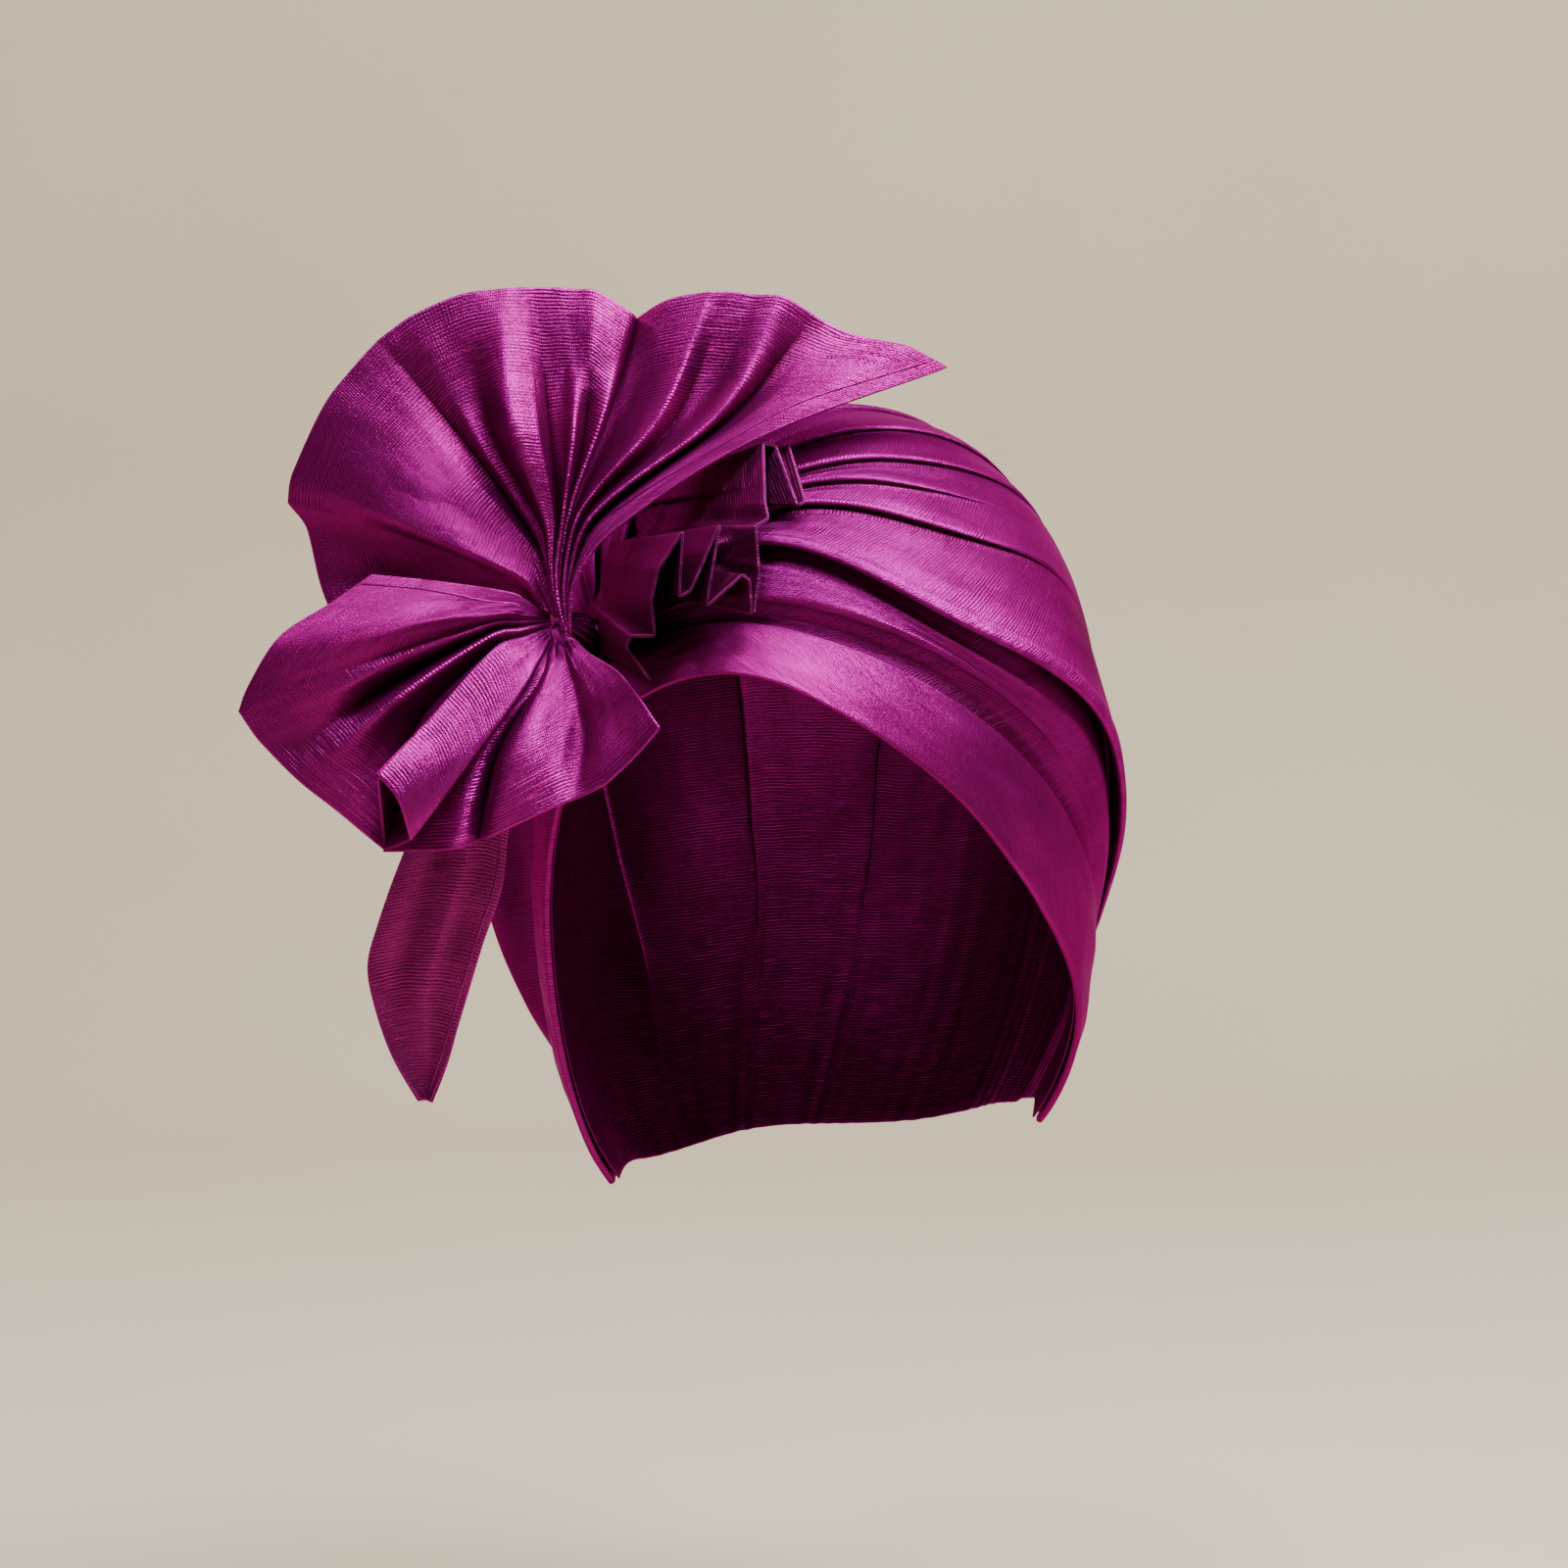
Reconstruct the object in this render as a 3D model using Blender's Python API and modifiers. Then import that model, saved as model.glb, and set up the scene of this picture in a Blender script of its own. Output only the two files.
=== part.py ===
"""Tied head wrap with a pleated fan bow, as separate cloth solids in metres."""
import math

import bmesh
import bpy
from mathutils import Vector
from mathutils.bvhtree import BVHTree

for thing in list(bpy.data.objects):
    bpy.data.objects.remove(thing, do_unlink=True)

# Head the wrap is worn on: sizes of the egg that the cloth lies on
HEAD_WIDTH = 0.158
HEAD_LENGTH = 0.198
HEAD_RISE = 0.116
HEAD_DROP = 0.140
HEAD_ROUNDNESS = 2.2

# Crown: the fuller shape that the pleats hold away from the head
CROWN_WIDTH = 0.172
CROWN_LENGTH = 0.210
CROWN_RISE = 0.126
CROWN_DROP = 0.146
CROWN_ROUNDNESS = 2.45
CROWN_CLOTH = 0.002
HEAD_EASE = 0.001
PLEAT_STEP = 0.0016

# Band round the face
BAND_CLOTH = 0.0020
PIECE_GAP = 0.0004

# Bow: reach is from the knot to the farthest tip
BOW_REACH = 0.1275
BOW_CLOTH = 0.0012
BOW_THROAT = 0.0042
BOW_STAND_OFF = 0.0195
KNOT_RADIUS = 0.0080
KNOT_SEAT_RADIUS = 0.0050
REST_GAP = 0.0022

# Ruffles beside the knot, tail below the bow, loose fold at the side
RUFFLE_REACH = 0.070
RUFFLE_CLOTH = 0.0010
RUFFLE_GATHER = 0.0125
TAIL_LENGTH = 0.125
TAIL_CLOTH = 0.0012
TAIL_GATHER = 50.0
FOLD_CLOTH = 0.0014
FOLD_BELLY = 0.021

# Grid steps of the crown and band, from the knot (0) to the nape (1)
CROWN_STEPS = 17

# Ribs of the crown sheet, across from the face edge over the top to the temple.
# Points are shares of the head's half sizes at these stations along each rib.
STATIONS = (0.0, 0.2, 0.4, 0.6, 0.8, 1.0)
BAND_RIGHT = 0.09
BAND_LEFT = 0.92
KNOT_AIM = (-0.750, -0.548, 0.482)
BROW_START = (-0.82, -0.66, 0.27)
RIBS = (
    # across, then x y z at 0.2, 0.4, 0.6, 0.8 and 1.0
    (0.00, (-0.30, -0.91, 0.44), (0.35, -0.96, 0.22), (0.77, -0.73, -0.11), (0.95, -0.30, -0.39), (0.82, 0.12, -0.63)),
    (BAND_RIGHT, (-0.30, -0.88, 0.57), (0.43, -0.93, 0.41), (0.92, -0.59, 0.05), (1.06, -0.15, -0.25), (0.86, 0.20, -0.61)),
    (0.16, (-0.20, -0.91, 0.63), (0.51, -0.91, 0.46), (0.98, -0.50, 0.10), (1.05, -0.08, -0.21), (0.86, 0.26, -0.62)),
    (0.27, (-0.20, -0.82, 0.74), (0.51, -0.87, 0.53), (1.03, -0.40, 0.24), (1.10, 0.05, -0.11), (0.81, 0.34, -0.63)),
    (0.40, (-0.13, -0.70, 0.87), (0.54, -0.56, 0.81), (0.99, 0.00, 0.59), (1.06, 0.40, 0.09), (0.70, 0.48, -0.64)),
    (0.50, (-0.18, -0.57, 0.96), (0.47, -0.25, 0.97), (0.88, 0.30, 0.73), (0.91, 0.73, 0.17), (0.48, 0.63, -0.67)),
    (0.62, (-0.50, -0.42, 0.93), (0.00, 0.10, 1.05), (0.48, 0.66, 0.78), (0.44, 0.99, 0.09), (0.10, 0.74, -0.70)),
    (0.74, (-0.78, -0.30, 0.78), (-0.63, 0.25, 0.86), (-0.23, 0.81, 0.60), (-0.15, 1.00, -0.07), (-0.23, 0.71, -0.71)),
    (0.84, (-0.94, -0.35, 0.57), (-1.00, 0.12, 0.50), (-0.84, 0.59, 0.26), (-0.63, 0.76, -0.29), (-0.48, 0.53, -0.71)),
    (BAND_LEFT, (-0.96, -0.42, 0.29), (-1.05, -0.22, 0.04), (-1.06, -0.10, -0.18), (-0.95, 0.02, -0.44), (-0.66, 0.25, -0.70)),
    (1.00, (-0.92, -0.53, 0.06), (-0.96, -0.44, -0.11), (-0.95, -0.37, -0.33), (-0.85, -0.25, -0.56), (-0.68, -0.03, -0.69)),
)

# Tucks of the crown: across share of the rolled lower edge, depth in pleat steps, where it fades
TUCKS = (
    # across, depth, fades_at
    (0.15, 2.2, 0.75),
    (0.25, 3.4, 1.00),
    (0.33, 1.5, 0.60),
    (0.40, 1.8, 0.85),
    (0.46, 1.5, 0.60),
    (0.52, 1.8, 0.80),
    (0.60, 1.6, 0.85),
    (0.68, 1.8, 0.90),
    (0.76, 1.8, 0.90),
    (0.84, 1.6, 0.85),
)

# Ribs of the two standing lobes: angles in degrees round the knot, anticlockwise from
# the viewer's right; reach and lifts are shares of BOW_REACH; a lift is towards the viewer
UPPER_RIBS = (
    # rim_angle, reach, throat_angle, bend, mid_lift, rim_lift
    (178.0, 0.53, 150.0, 0.0, -0.12, -0.12),
    (161.0, 0.60, 143.0, 0.0, -0.13, -0.13),
    (153.9, 0.66, 137.0, -4.0, -0.10, -0.15),
    (138.7, 0.70, 130.0, -2.0, 0.02, -0.08),
    (124.2, 0.73, 123.0, -1.0, -0.09, -0.13),
    (113.0, 0.735, 117.0, 0.0, 0.02, -0.08),
    (104.4, 0.74, 111.0, 0.0, 0.06, -0.07),
    (96.8, 0.73, 106.0, 0.0, -0.08, -0.13),
    (84.9, 0.72, 101.0, 0.0, 0.07, -0.05),
    (76.4, 0.67, 96.0, 0.0, -0.08, -0.16),
    (71.8, 0.73, 92.0, 0.0, -0.02, -0.10),
    (66.3, 0.78, 88.0, -2.0, 0.08, -0.07),
    (60.5, 0.82, 84.0, -2.0, 0.01, -0.14),
    (55.1, 0.85, 80.0, -2.0, 0.11, -0.08),
    (46.0, 0.87, 76.0, -1.0, 0.06, -0.15),
    (38.0, 0.95, 72.0, 0.0, 0.10, -0.17),
    (33.1, 1.00, 68.0, 0.0, 0.14, -0.17),
)

# Ribs of the two lower lobes, with the same columns
LOWER_RIBS = (
    # rim_angle, reach, throat_angle, bend, mid_lift, rim_lift
    (168.7, 0.46, 163.0, -3.0, 0.05, 0.00),
    (177.0, 0.56, 171.0, 0.0, 0.12, 0.07),
    (186.0, 0.67, 180.0, 0.0, 0.11, 0.08),
    (195.5, 0.74, 189.0, -3.0, 0.01, 0.03),
    (205.0, 0.72, 199.0, -1.0, 0.09, 0.08),
    (214.5, 0.67, 208.0, 0.0, 0.05, 0.04),
    (221.7, 0.60, 217.0, 0.0, 0.17, 0.21),
    (230.0, 0.61, 226.0, 0.0, 0.20, 0.24),
    (235.0, 0.60, 235.0, 0.0, 0.12, 0.16),
    (241.0, 0.58, 244.0, 0.0, 0.03, 0.06),
    (250.8, 0.49, 254.0, 0.0, 0.14, 0.17),
    (265.7, 0.435, 265.0, 0.0, 0.11, 0.14),
    (278.1, 0.385, 276.0, 0.0, 0.21, 0.23),
    (293.4, 0.355, 288.0, 0.0, 0.16, 0.20),
    (311.0, 0.325, 302.0, 3.0, 0.21, 0.26),
)

# Free ends of the ruffle pleats from the knot: shares of RUFFLE_REACH
LOWER_RUFFLE = (
    # right, up, towards, gather_angle
    (0.36, -0.25, 0.47, 318.0),
    (0.25, -0.10, 0.43, 326.0),
    (0.36, 0.10, 0.50, 334.0),
    (0.49, 0.31, 0.45, 342.0),
    (0.47, 0.04, 0.53, 350.0),
    (0.63, 0.36, 0.47, 358.0),
    (0.60, 0.03, 0.54, 366.0),
    (0.72, 0.17, 0.48, 374.0),
    (0.77, -0.02, 0.53, 382.0),
)
UPPER_RUFFLE = (
    # right, up, towards, gather_angle
    (0.84, 0.14, 0.46, 388.0),
    (0.78, 0.38, 0.37, 396.0),
    (0.89, 0.43, 0.33, 404.0),
    (0.80, 0.70, 0.04, 412.0),
    (0.93, 0.68, 0.06, 420.0),
    (0.99, 0.45, 0.28, 428.0),
)

# Tail from the knot down: shares of TAIL_LENGTH; crease is the depth of the middle crease
TAIL_ROWS = (
    # drop, left, right, back, crease
    (0.12, -0.14, -0.05, 0.10, 0.00),
    (0.30, -0.24, -0.08, 0.14, 0.03),
    (0.52, -0.38, -0.17, 0.16, 0.04),
    (0.70, -0.44, -0.19, 0.16, 0.05),
    (0.80, -0.47, -0.21, 0.16, 0.05),
    (0.92, -0.44, -0.24, 0.16, 0.04),
    (1.04, -0.39, -0.29, 0.16, 0.02),
    (1.12, -0.35, -0.33, 0.16, 0.00),
)

# Loose fold: where it lies on the crown sheet and how full it is on the way down
SIDE_FOLD_ROWS = (
    # crown_step, front_across, back_across, fullness
    (3, 0.905, 0.884, 0.15),
    (4, 0.903, 0.872, 0.45),
    (5, 0.900, 0.862, 0.75),
    (6, 0.900, 0.856, 0.95),
    (7, 0.900, 0.853, 1.00),
    (8, 0.900, 0.852, 1.00),
    (9, 0.900, 0.852, 1.00),
    (10, 0.900, 0.853, 0.95),
    (11, 0.900, 0.856, 0.85),
    (12, 0.901, 0.860, 0.70),
    (13, 0.902, 0.866, 0.50),
    (14, 0.904, 0.874, 0.30),
    (15, 0.906, 0.884, 0.12),
)

HEAD = (HEAD_WIDTH / 2, HEAD_LENGTH / 2, HEAD_RISE, HEAD_DROP)
CROWN = (CROWN_WIDTH / 2, CROWN_LENGTH / 2, CROWN_RISE, CROWN_DROP)
BASE_LIFT = HEAD_EASE + CROWN_CLOTH
SEAT = Vector((0.0, 0.0, CROWN_RISE + HEAD_EASE))
VIEWER = Vector((0.0, -1.0, 0.0))


def through(stops, values, at):
    """Value at `at` on a smooth curve through the values at the stops."""
    last = len(stops) - 1
    k = 0
    while k < last - 1 and at > stops[k + 1]:
        k += 1
    span = stops[k + 1] - stops[k]
    f = (at - stops[k]) / span

    def slope(i):
        low = max(i - 1, 0)
        high = min(i + 1, last)
        return (values[high] - values[low]) * (1.0 / (stops[high] - stops[low]))

    start = values[k] * (2 * f**3 - 3 * f**2 + 1) + slope(k) * (span * (f**3 - 2 * f**2 + f))
    end = values[k + 1] * (3 * f**2 - 2 * f**3) + slope(k + 1) * (span * (f**3 - f**2))
    return start + end


def smooth(low, high, value):
    """Soft step from 0 at low to 1 at high."""
    f = min(max((value - low) / (high - low), 0.0), 1.0)
    return f * f * (3 - 2 * f)


def reach(aim, sizes, roundness):
    """Distance from the head centre to a rounded egg along the unit vector aim."""
    half = (sizes[0], sizes[1], sizes[2] if aim.z > 0 else sizes[3])
    total = sum((abs(part) / size) ** roundness for part, size in zip(aim, half))
    return total ** (-1.0 / roundness)


def facing(aim, sizes, roundness):
    """Outward unit normal of a rounded egg where the unit vector aim leaves it."""
    half = (sizes[0], sizes[1], sizes[2] if aim.z > 0 else sizes[3])
    slopes = [math.copysign((abs(part) / size) ** (roundness - 1) / size, part) for part, size in zip(aim, half)]
    return Vector(slopes).normalized()


def head_aim(shares):
    """Unit vector from the head centre towards shares of the head's half sizes."""
    height = HEAD_RISE if shares[2] > 0 else HEAD_DROP
    return Vector((shares[0] * HEAD[0], shares[1] * HEAD[1], shares[2] * height)).normalized()


def rib_points(row):
    """Aims along one crown rib, from the knot's rim or the brow to the nape."""
    knot = head_aim(KNOT_AIM)
    brow = head_aim(BROW_START)
    first = head_aim(row[1])
    rim = KNOT_SEAT_RADIUS / reach(knot, HEAD, HEAD_ROUNDNESS)
    if row[0] in (0.0, 1.0):
        start = brow
    elif row[0] in (BAND_RIGHT, BAND_LEFT):
        start = (knot + (brow - knot).normalized() * (rim * 2.1)).normalized()
    else:
        start = (knot + (first - knot).normalized() * rim).normalized()
    return [start] + [head_aim(shares) for shares in row[1:]]


RIB_PLACES = [row[0] for row in RIBS]
RIB_AIMS = [rib_points(row) for row in RIBS]


def crown_aim(across, along):
    """Unit vector to a place of the crown sheet."""
    row = [through(STATIONS, aims, along) for aims in RIB_AIMS]
    return through(RIB_PLACES, row, across).normalized()


def fullness(across, along):
    """Share of the crown's own shape, 0 where the cloth lies on the head."""
    sides = smooth(BAND_RIGHT, 0.26, across) * (1 - smooth(0.80, BAND_LEFT, across))
    ends = smooth(0.02, 0.30, along) * (1 - smooth(0.70, 1.0, along))
    return sides * ends


def tuck_lift(across, along):
    """Height of the pleats over the smooth crown."""
    lift = 0.0
    ends = [tuck[0] for tuck in TUCKS[1:]] + [BAND_LEFT]
    for (place, depth, fades_at), end in zip(TUCKS, ends):
        if place < across <= end:
            run = (across - place) / (end - place)
            fade = smooth(0.0, 0.18, along) * (1 - smooth(fades_at - 0.3, fades_at, along))
            lift = depth * PLEAT_STEP * (1 - run) ** 1.3 * fade
    return lift


def crown_point(across, along, lift):
    """Point of the crown sheet, `lift` above the layer that lies on the head."""
    aim = crown_aim(across, along)
    share = fullness(across, along)
    base = reach(aim, HEAD, HEAD_ROUNDNESS) * (1 - share) + reach(aim, CROWN, CROWN_ROUNDNESS) * share
    lay = BASE_LIFT * (1 - share)
    out = facing(aim, HEAD, HEAD_ROUNDNESS).lerp(facing(aim, CROWN, CROWN_ROUNDNESS), share).normalized()
    return aim * base + out * (lay + lift)


def sheet(name, rows, cloth, slot, weld=False, offset=0.0):
    """Cloth solid from a grid of points, with its wall made by a Solidify modifier."""
    mesh = bpy.data.meshes.new(name)
    count = len(rows[0])
    points = [point - SEAT for row in rows for point in row]
    faces = []
    for i in range(len(rows) - 1):
        for j in range(count - 1):
            a = i * count + j
            faces.append((a, a + count, a + count + 1))
            faces.append((a, a + count + 1, a + 1))
    mesh.from_pydata(points, [], faces)
    if weld:
        build = bmesh.new()
        build.from_mesh(mesh)
        bmesh.ops.remove_doubles(build, verts=build.verts, dist=0.00005)
        build.to_mesh(mesh)
        build.free()
    for face in mesh.polygons:
        face.use_smooth = True
    body = bpy.data.objects.new(name, mesh)
    wall = body.modifiers.new("cloth", "SOLIDIFY")
    wall.thickness = cloth
    wall.offset = offset
    wall.use_rim = True
    mesh.materials.append(slot)
    PARTS.objects.link(body)
    return body


def tint(name, colour):
    """Principled material for one sub-part."""
    material = bpy.data.materials.new(name)
    material.use_nodes = True
    shader = material.node_tree.nodes["Principled BSDF"]
    shader.inputs["Base Color"].default_value = (*colour, 1.0)
    shader.inputs["Roughness"].default_value = 0.42
    material.diffuse_color = (*colour, 1.0)
    return material


PARTS = bpy.data.collections.new("tied_head_wrap")
bpy.context.scene.collection.children.link(PARTS)
SILK_CROWN = tint("crown_silk", (0.30, 0.012, 0.20))
SILK_BAND = tint("band_silk", (0.24, 0.010, 0.17))
SILK_FOLD = tint("fold_silk", (0.13, 0.008, 0.10))
SILK_BOW = tint("bow_silk", (0.34, 0.014, 0.23))
SILK_RUFFLE = tint("ruffle_silk", (0.20, 0.009, 0.14))
SILK_TAIL = tint("tail_silk", (0.25, 0.010, 0.17))
SILK_KNOT = tint("knot_silk", (0.10, 0.006, 0.08))

# Crown sheet with its tucks
edge = 0.0035
columns = [0.0, BAND_RIGHT / 2, BAND_RIGHT]
tuck_ends = [tuck[0] for tuck in TUCKS] + [BAND_LEFT]
for place, end in zip(tuck_ends, tuck_ends[1:]):
    columns += [place, place + edge, (place + end) / 2]
columns += [BAND_LEFT, (1 + BAND_LEFT) / 2, 1.0]
steps = [i / CROWN_STEPS for i in range(CROWN_STEPS + 1)]


def crown_row(along):
    """Outer points of the crown across one step along the ribs."""
    return [crown_point(across, along, tuck_lift(across, along)) for across in columns]


crown_rows = [crown_row(along) for along in steps]
crown_rows[0][-1] = crown_rows[0][0].copy()
crown_rows[0][-2] = crown_rows[0][1].copy()
crown_rows[0][-3] = crown_rows[0][2].copy()
sheet("crown_wrap", crown_rows, CROWN_CLOTH, SILK_CROWN, weld=True, offset=-1.0)

# Band round the face, from the nape on one side over the brow to the other
band_lift = BAND_CLOTH + PIECE_GAP * 1.6


def band_row(along, right):
    """Outer points across the band at one step."""
    width = BAND_RIGHT if right else 1 - BAND_LEFT
    shares = (0.0, 0.5, 0.96)
    crown = (0.0, 0.25, 0.0)
    places = [width * share if right else 1 - width * share for share in shares]
    return [crown_point(place, along, band_lift + PIECE_GAP * rise) for place, rise in zip(places, crown)]


band_rows = [band_row(along, True) for along in reversed(steps)]
band_rows += [band_row(along, False) for along in steps[1:]]
sheet("brow_band", band_rows, BAND_CLOTH, SILK_BAND, offset=1.0)


def cover(rows):
    """Search tree of the cloth that other pieces rest on."""
    points = []
    faces = []
    for grid in rows:
        first = len(points)
        count = len(grid[0])
        points += [point for row in grid for point in row]
        for i in range(len(grid) - 1):
            for j in range(count - 1):
                a = first + i * count + j
                faces.append((a, a + 1, a + count + 1, a + count))
    return BVHTree.FromPolygons(points, faces)


LAID = cover([crown_rows, band_rows])


def rest(point, gap):
    """Point moved out until it is at least `gap` above the cloth on the head."""
    aim = point.normalized()
    far = CROWN_LENGTH * 2
    hit = LAID.ray_cast(aim * far, -aim)
    if hit[0] is None:
        return point
    least = hit[0].length + gap
    return point if point.length > least else aim * least


def laid(point, gap):
    """Point moved in or out until it is `gap` above the cloth on the head."""
    aim = point.normalized()
    hit = LAID.ray_cast(aim * CROWN_LENGTH * 2, -aim)
    return hit[0] + hit[1] * (gap if hit[1].dot(aim) > 0 else -gap)


# Knot: a pinched lump between the crown and the bow
knot_out = head_aim(KNOT_AIM)
knot_reach = reach(knot_out, HEAD, HEAD_ROUNDNESS)
knot_up = facing(knot_out, HEAD, HEAD_ROUNDNESS)
knot_rise = math.sqrt((KNOT_RADIUS + PIECE_GAP * 2) ** 2 - KNOT_SEAT_RADIUS**2)
KNOT = knot_out * knot_reach + knot_up * (BASE_LIFT + knot_rise)
GATHER = knot_out * (knot_reach + BOW_STAND_OFF)


def knot_mesh():
    """Closed ribbed lump round the gather."""
    mesh = bpy.data.meshes.new("knot")
    build = bmesh.new()
    side = knot_out.cross(Vector((0.0, 0.0, 1.0))).normalized()
    up = side.cross(knot_out)
    sides = 24
    rings = 9
    grid = []
    for i in range(1, rings):
        polar = math.pi * i / rings
        row = []
        for j in range(sides):
            turn = 2 * math.pi * j / sides
            pinch = 1 - 0.10 * (j % 2) * math.sin(polar)
            out = KNOT_RADIUS * math.sin(polar) * pinch
            place = KNOT + knot_out * (KNOT_RADIUS * math.cos(polar))
            place = place + side * (out * math.cos(turn)) + up * (out * math.sin(turn))
            row.append(build.verts.new(place - SEAT))
        grid.append(row)
    top = build.verts.new(KNOT + knot_out * KNOT_RADIUS - SEAT)
    low = build.verts.new(KNOT - knot_out * KNOT_RADIUS - SEAT)
    for j in range(sides):
        k = (j + 1) % sides
        build.faces.new((top, grid[0][j], grid[0][k]))
        build.faces.new((low, grid[-1][k], grid[-1][j]))
        for i in range(rings - 2):
            build.faces.new((grid[i][j], grid[i + 1][j], grid[i + 1][k], grid[i][k]))
    bmesh.ops.recalc_face_normals(build, faces=build.faces)
    build.to_mesh(mesh)
    build.free()
    for face in mesh.polygons:
        face.use_smooth = True
    mesh.materials.append(SILK_KNOT)
    return mesh


PARTS.objects.link(bpy.data.objects.new("knot", knot_mesh()))


def seated(point, cloth):
    """Point moved onto the knot, so that a sheet's wall starts just off it."""
    return KNOT + (point - KNOT).normalized() * (KNOT_RADIUS + cloth / 2 + PIECE_GAP)


def clear(point, gap):
    """Point moved out of the knot and off the cloth on the head."""
    away = point - KNOT
    least = KNOT_RADIUS + gap * 0.6
    if away.length < least:
        point = KNOT + away.normalized() * least
    return rest(point, gap)


def fan_point(rib, q):
    """Point of a fan lobe: q is 0 at the throat and 1 at the rim."""
    rim_angle, reach_share, throat_angle, bend, mid_lift, rim_lift = rib
    ease = 1 - (1 - q) ** 2
    angle = math.radians(throat_angle + (rim_angle - throat_angle) * ease + bend * math.sin(math.pi * q))
    out = BOW_THROAT + (BOW_REACH * reach_share - BOW_THROAT) * q
    lift = BOW_REACH * through((0.0, 0.5, 1.0), (0.0, mid_lift, rim_lift), q)
    place = GATHER + Vector((math.cos(angle) * out, 0.0, math.sin(angle) * out)) + VIEWER * lift
    return clear(place, REST_GAP) if q > 0 else seated(place, BOW_CLOTH)


def fan(name, ribs, steps_out):
    """Pleated lobe sheet with a column on each rib and one between ribs."""
    places = list(range(len(ribs)))
    rows = []
    for i in range(steps_out + 1):
        q = i / steps_out
        row = []
        for j in range(2 * len(ribs) - 1):
            at = j / 2
            low = ribs[int(at)]
            high = ribs[min(int(at) + 1, len(ribs) - 1)]
            part = at - int(at)
            mixed = [a + (b - a) * part for a, b in zip(low, high)]
            if part:
                mixed[1] = through(places, [rib[1] for rib in ribs], at)
            row.append(fan_point(mixed, q))
        rows.append(row)
    return sheet(name, rows, BOW_CLOTH, SILK_BOW)


fan("upper_fan", UPPER_RIBS, 9)
fan("lower_fan", LOWER_RIBS, 8)


def ruffle(name, corners, steps_out):
    """Zigzag pleat ends, each panel running back to the knot."""
    rows = []
    for i in range(steps_out + 1):
        q = i / steps_out
        row = []
        for right, up, towards, gather_angle in corners:
            angle = math.radians(gather_angle)
            start = GATHER + Vector((math.cos(angle), 0.0, math.sin(angle))) * RUFFLE_GATHER
            start = laid(start, RUFFLE_CLOTH / 2 + PIECE_GAP * 2.2)
            end = GATHER + Vector((right, -towards, up)) * RUFFLE_REACH
            row.append(rest(start.lerp(end, q), REST_GAP * 1.7) if i else start)
        rows.append(row)
    return sheet(name, rows, RUFFLE_CLOTH, SILK_RUFFLE)


ruffle("ruffle_lower", LOWER_RUFFLE, 5)
ruffle("ruffle_upper", UPPER_RUFFLE, 4)


def tail_rows():
    """Points of the hanging end, from the knot down, with lengthwise creases."""
    first = []
    for k in range(7):
        turn = math.radians(TAIL_GATHER * (k / 6 - 0.5))
        out = Vector((-0.75, 0.10, -0.65)) + Vector((0.65, 0.15, -0.75)) * math.sin(turn)
        first.append(seated(KNOT + out * KNOT_RADIUS, TAIL_CLOTH))
    rows = [first]
    for drop, left, right, back, crease in TAIL_ROWS:
        row = []
        for k in range(7):
            share = k / 6
            depth = back - crease * (1 if k % 2 else 0) - crease * math.sin(math.pi * share)
            place = Vector((left + (right - left) * share, depth, -drop)) * TAIL_LENGTH
            row.append(rest(GATHER + place, REST_GAP))
        rows.append(row)
    return rows


sheet("tail", tail_rows(), TAIL_CLOTH, SILK_TAIL)


def side_fold_rows():
    """Points of the loose fold, a belly that starts and ends on the crown."""
    rows = []
    lie = FOLD_CLOTH / 2 + PIECE_GAP * 1.5
    for step, front, back, full in SIDE_FOLD_ROWS:
        along = steps[step]
        row = []
        for k in range(8):
            share = k / 7
            across = front + (back - front) * share
            belly = FOLD_BELLY * full * math.sin(math.pi * share) ** 0.8
            place = crown_point(across, along, tuck_lift(across, along) + lie + belly)
            row.append(rest(place, lie))
        rows.append(row)
    return rows


sheet("side_fold", side_fold_rows(), FOLD_CLOTH, SILK_FOLD)
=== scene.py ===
"""Dressed model of a tied head wrap: pleated crown, brow band, fan bow, ruffles, tail and side fold."""
import logging
import math
from dataclasses import dataclass
from enum import Enum
from typing import Sequence

import bpy
import numpy as np
from mathutils import Matrix, Vector
from mathutils.bvhtree import BVHTree


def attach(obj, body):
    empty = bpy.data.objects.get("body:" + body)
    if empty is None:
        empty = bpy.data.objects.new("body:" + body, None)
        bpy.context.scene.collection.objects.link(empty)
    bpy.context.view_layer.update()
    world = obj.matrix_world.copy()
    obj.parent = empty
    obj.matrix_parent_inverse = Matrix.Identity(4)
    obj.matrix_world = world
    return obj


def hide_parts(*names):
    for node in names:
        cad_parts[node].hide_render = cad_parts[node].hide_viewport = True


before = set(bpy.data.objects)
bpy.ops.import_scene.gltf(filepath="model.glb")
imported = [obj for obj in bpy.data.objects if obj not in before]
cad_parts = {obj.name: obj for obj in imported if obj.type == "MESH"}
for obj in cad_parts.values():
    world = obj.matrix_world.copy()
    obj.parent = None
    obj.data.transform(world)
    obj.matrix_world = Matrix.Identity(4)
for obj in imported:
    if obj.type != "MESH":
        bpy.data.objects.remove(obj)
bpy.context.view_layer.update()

logging.basicConfig(level=logging.INFO, format="%(message)s")
log = logging.getLogger("head_wrap")

MM = 0.001
BODY = "root"
UV_NAME = "cloth"
# point attributes read by the silk's colour: edge distance turns free borders pale, part wear and part
# painted highlight; fold height paints shade in hollows and a highlight on crests
EDGE_NAME = "edge_distance"
FOLD_NAME = "fold_height"


class Edge(Enum):
    """Ways to finish the border of a doubled cloth."""

    HEMMED = "two layers pressed together, with a groove between them"
    FOLDED = "one rounded fold"


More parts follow.
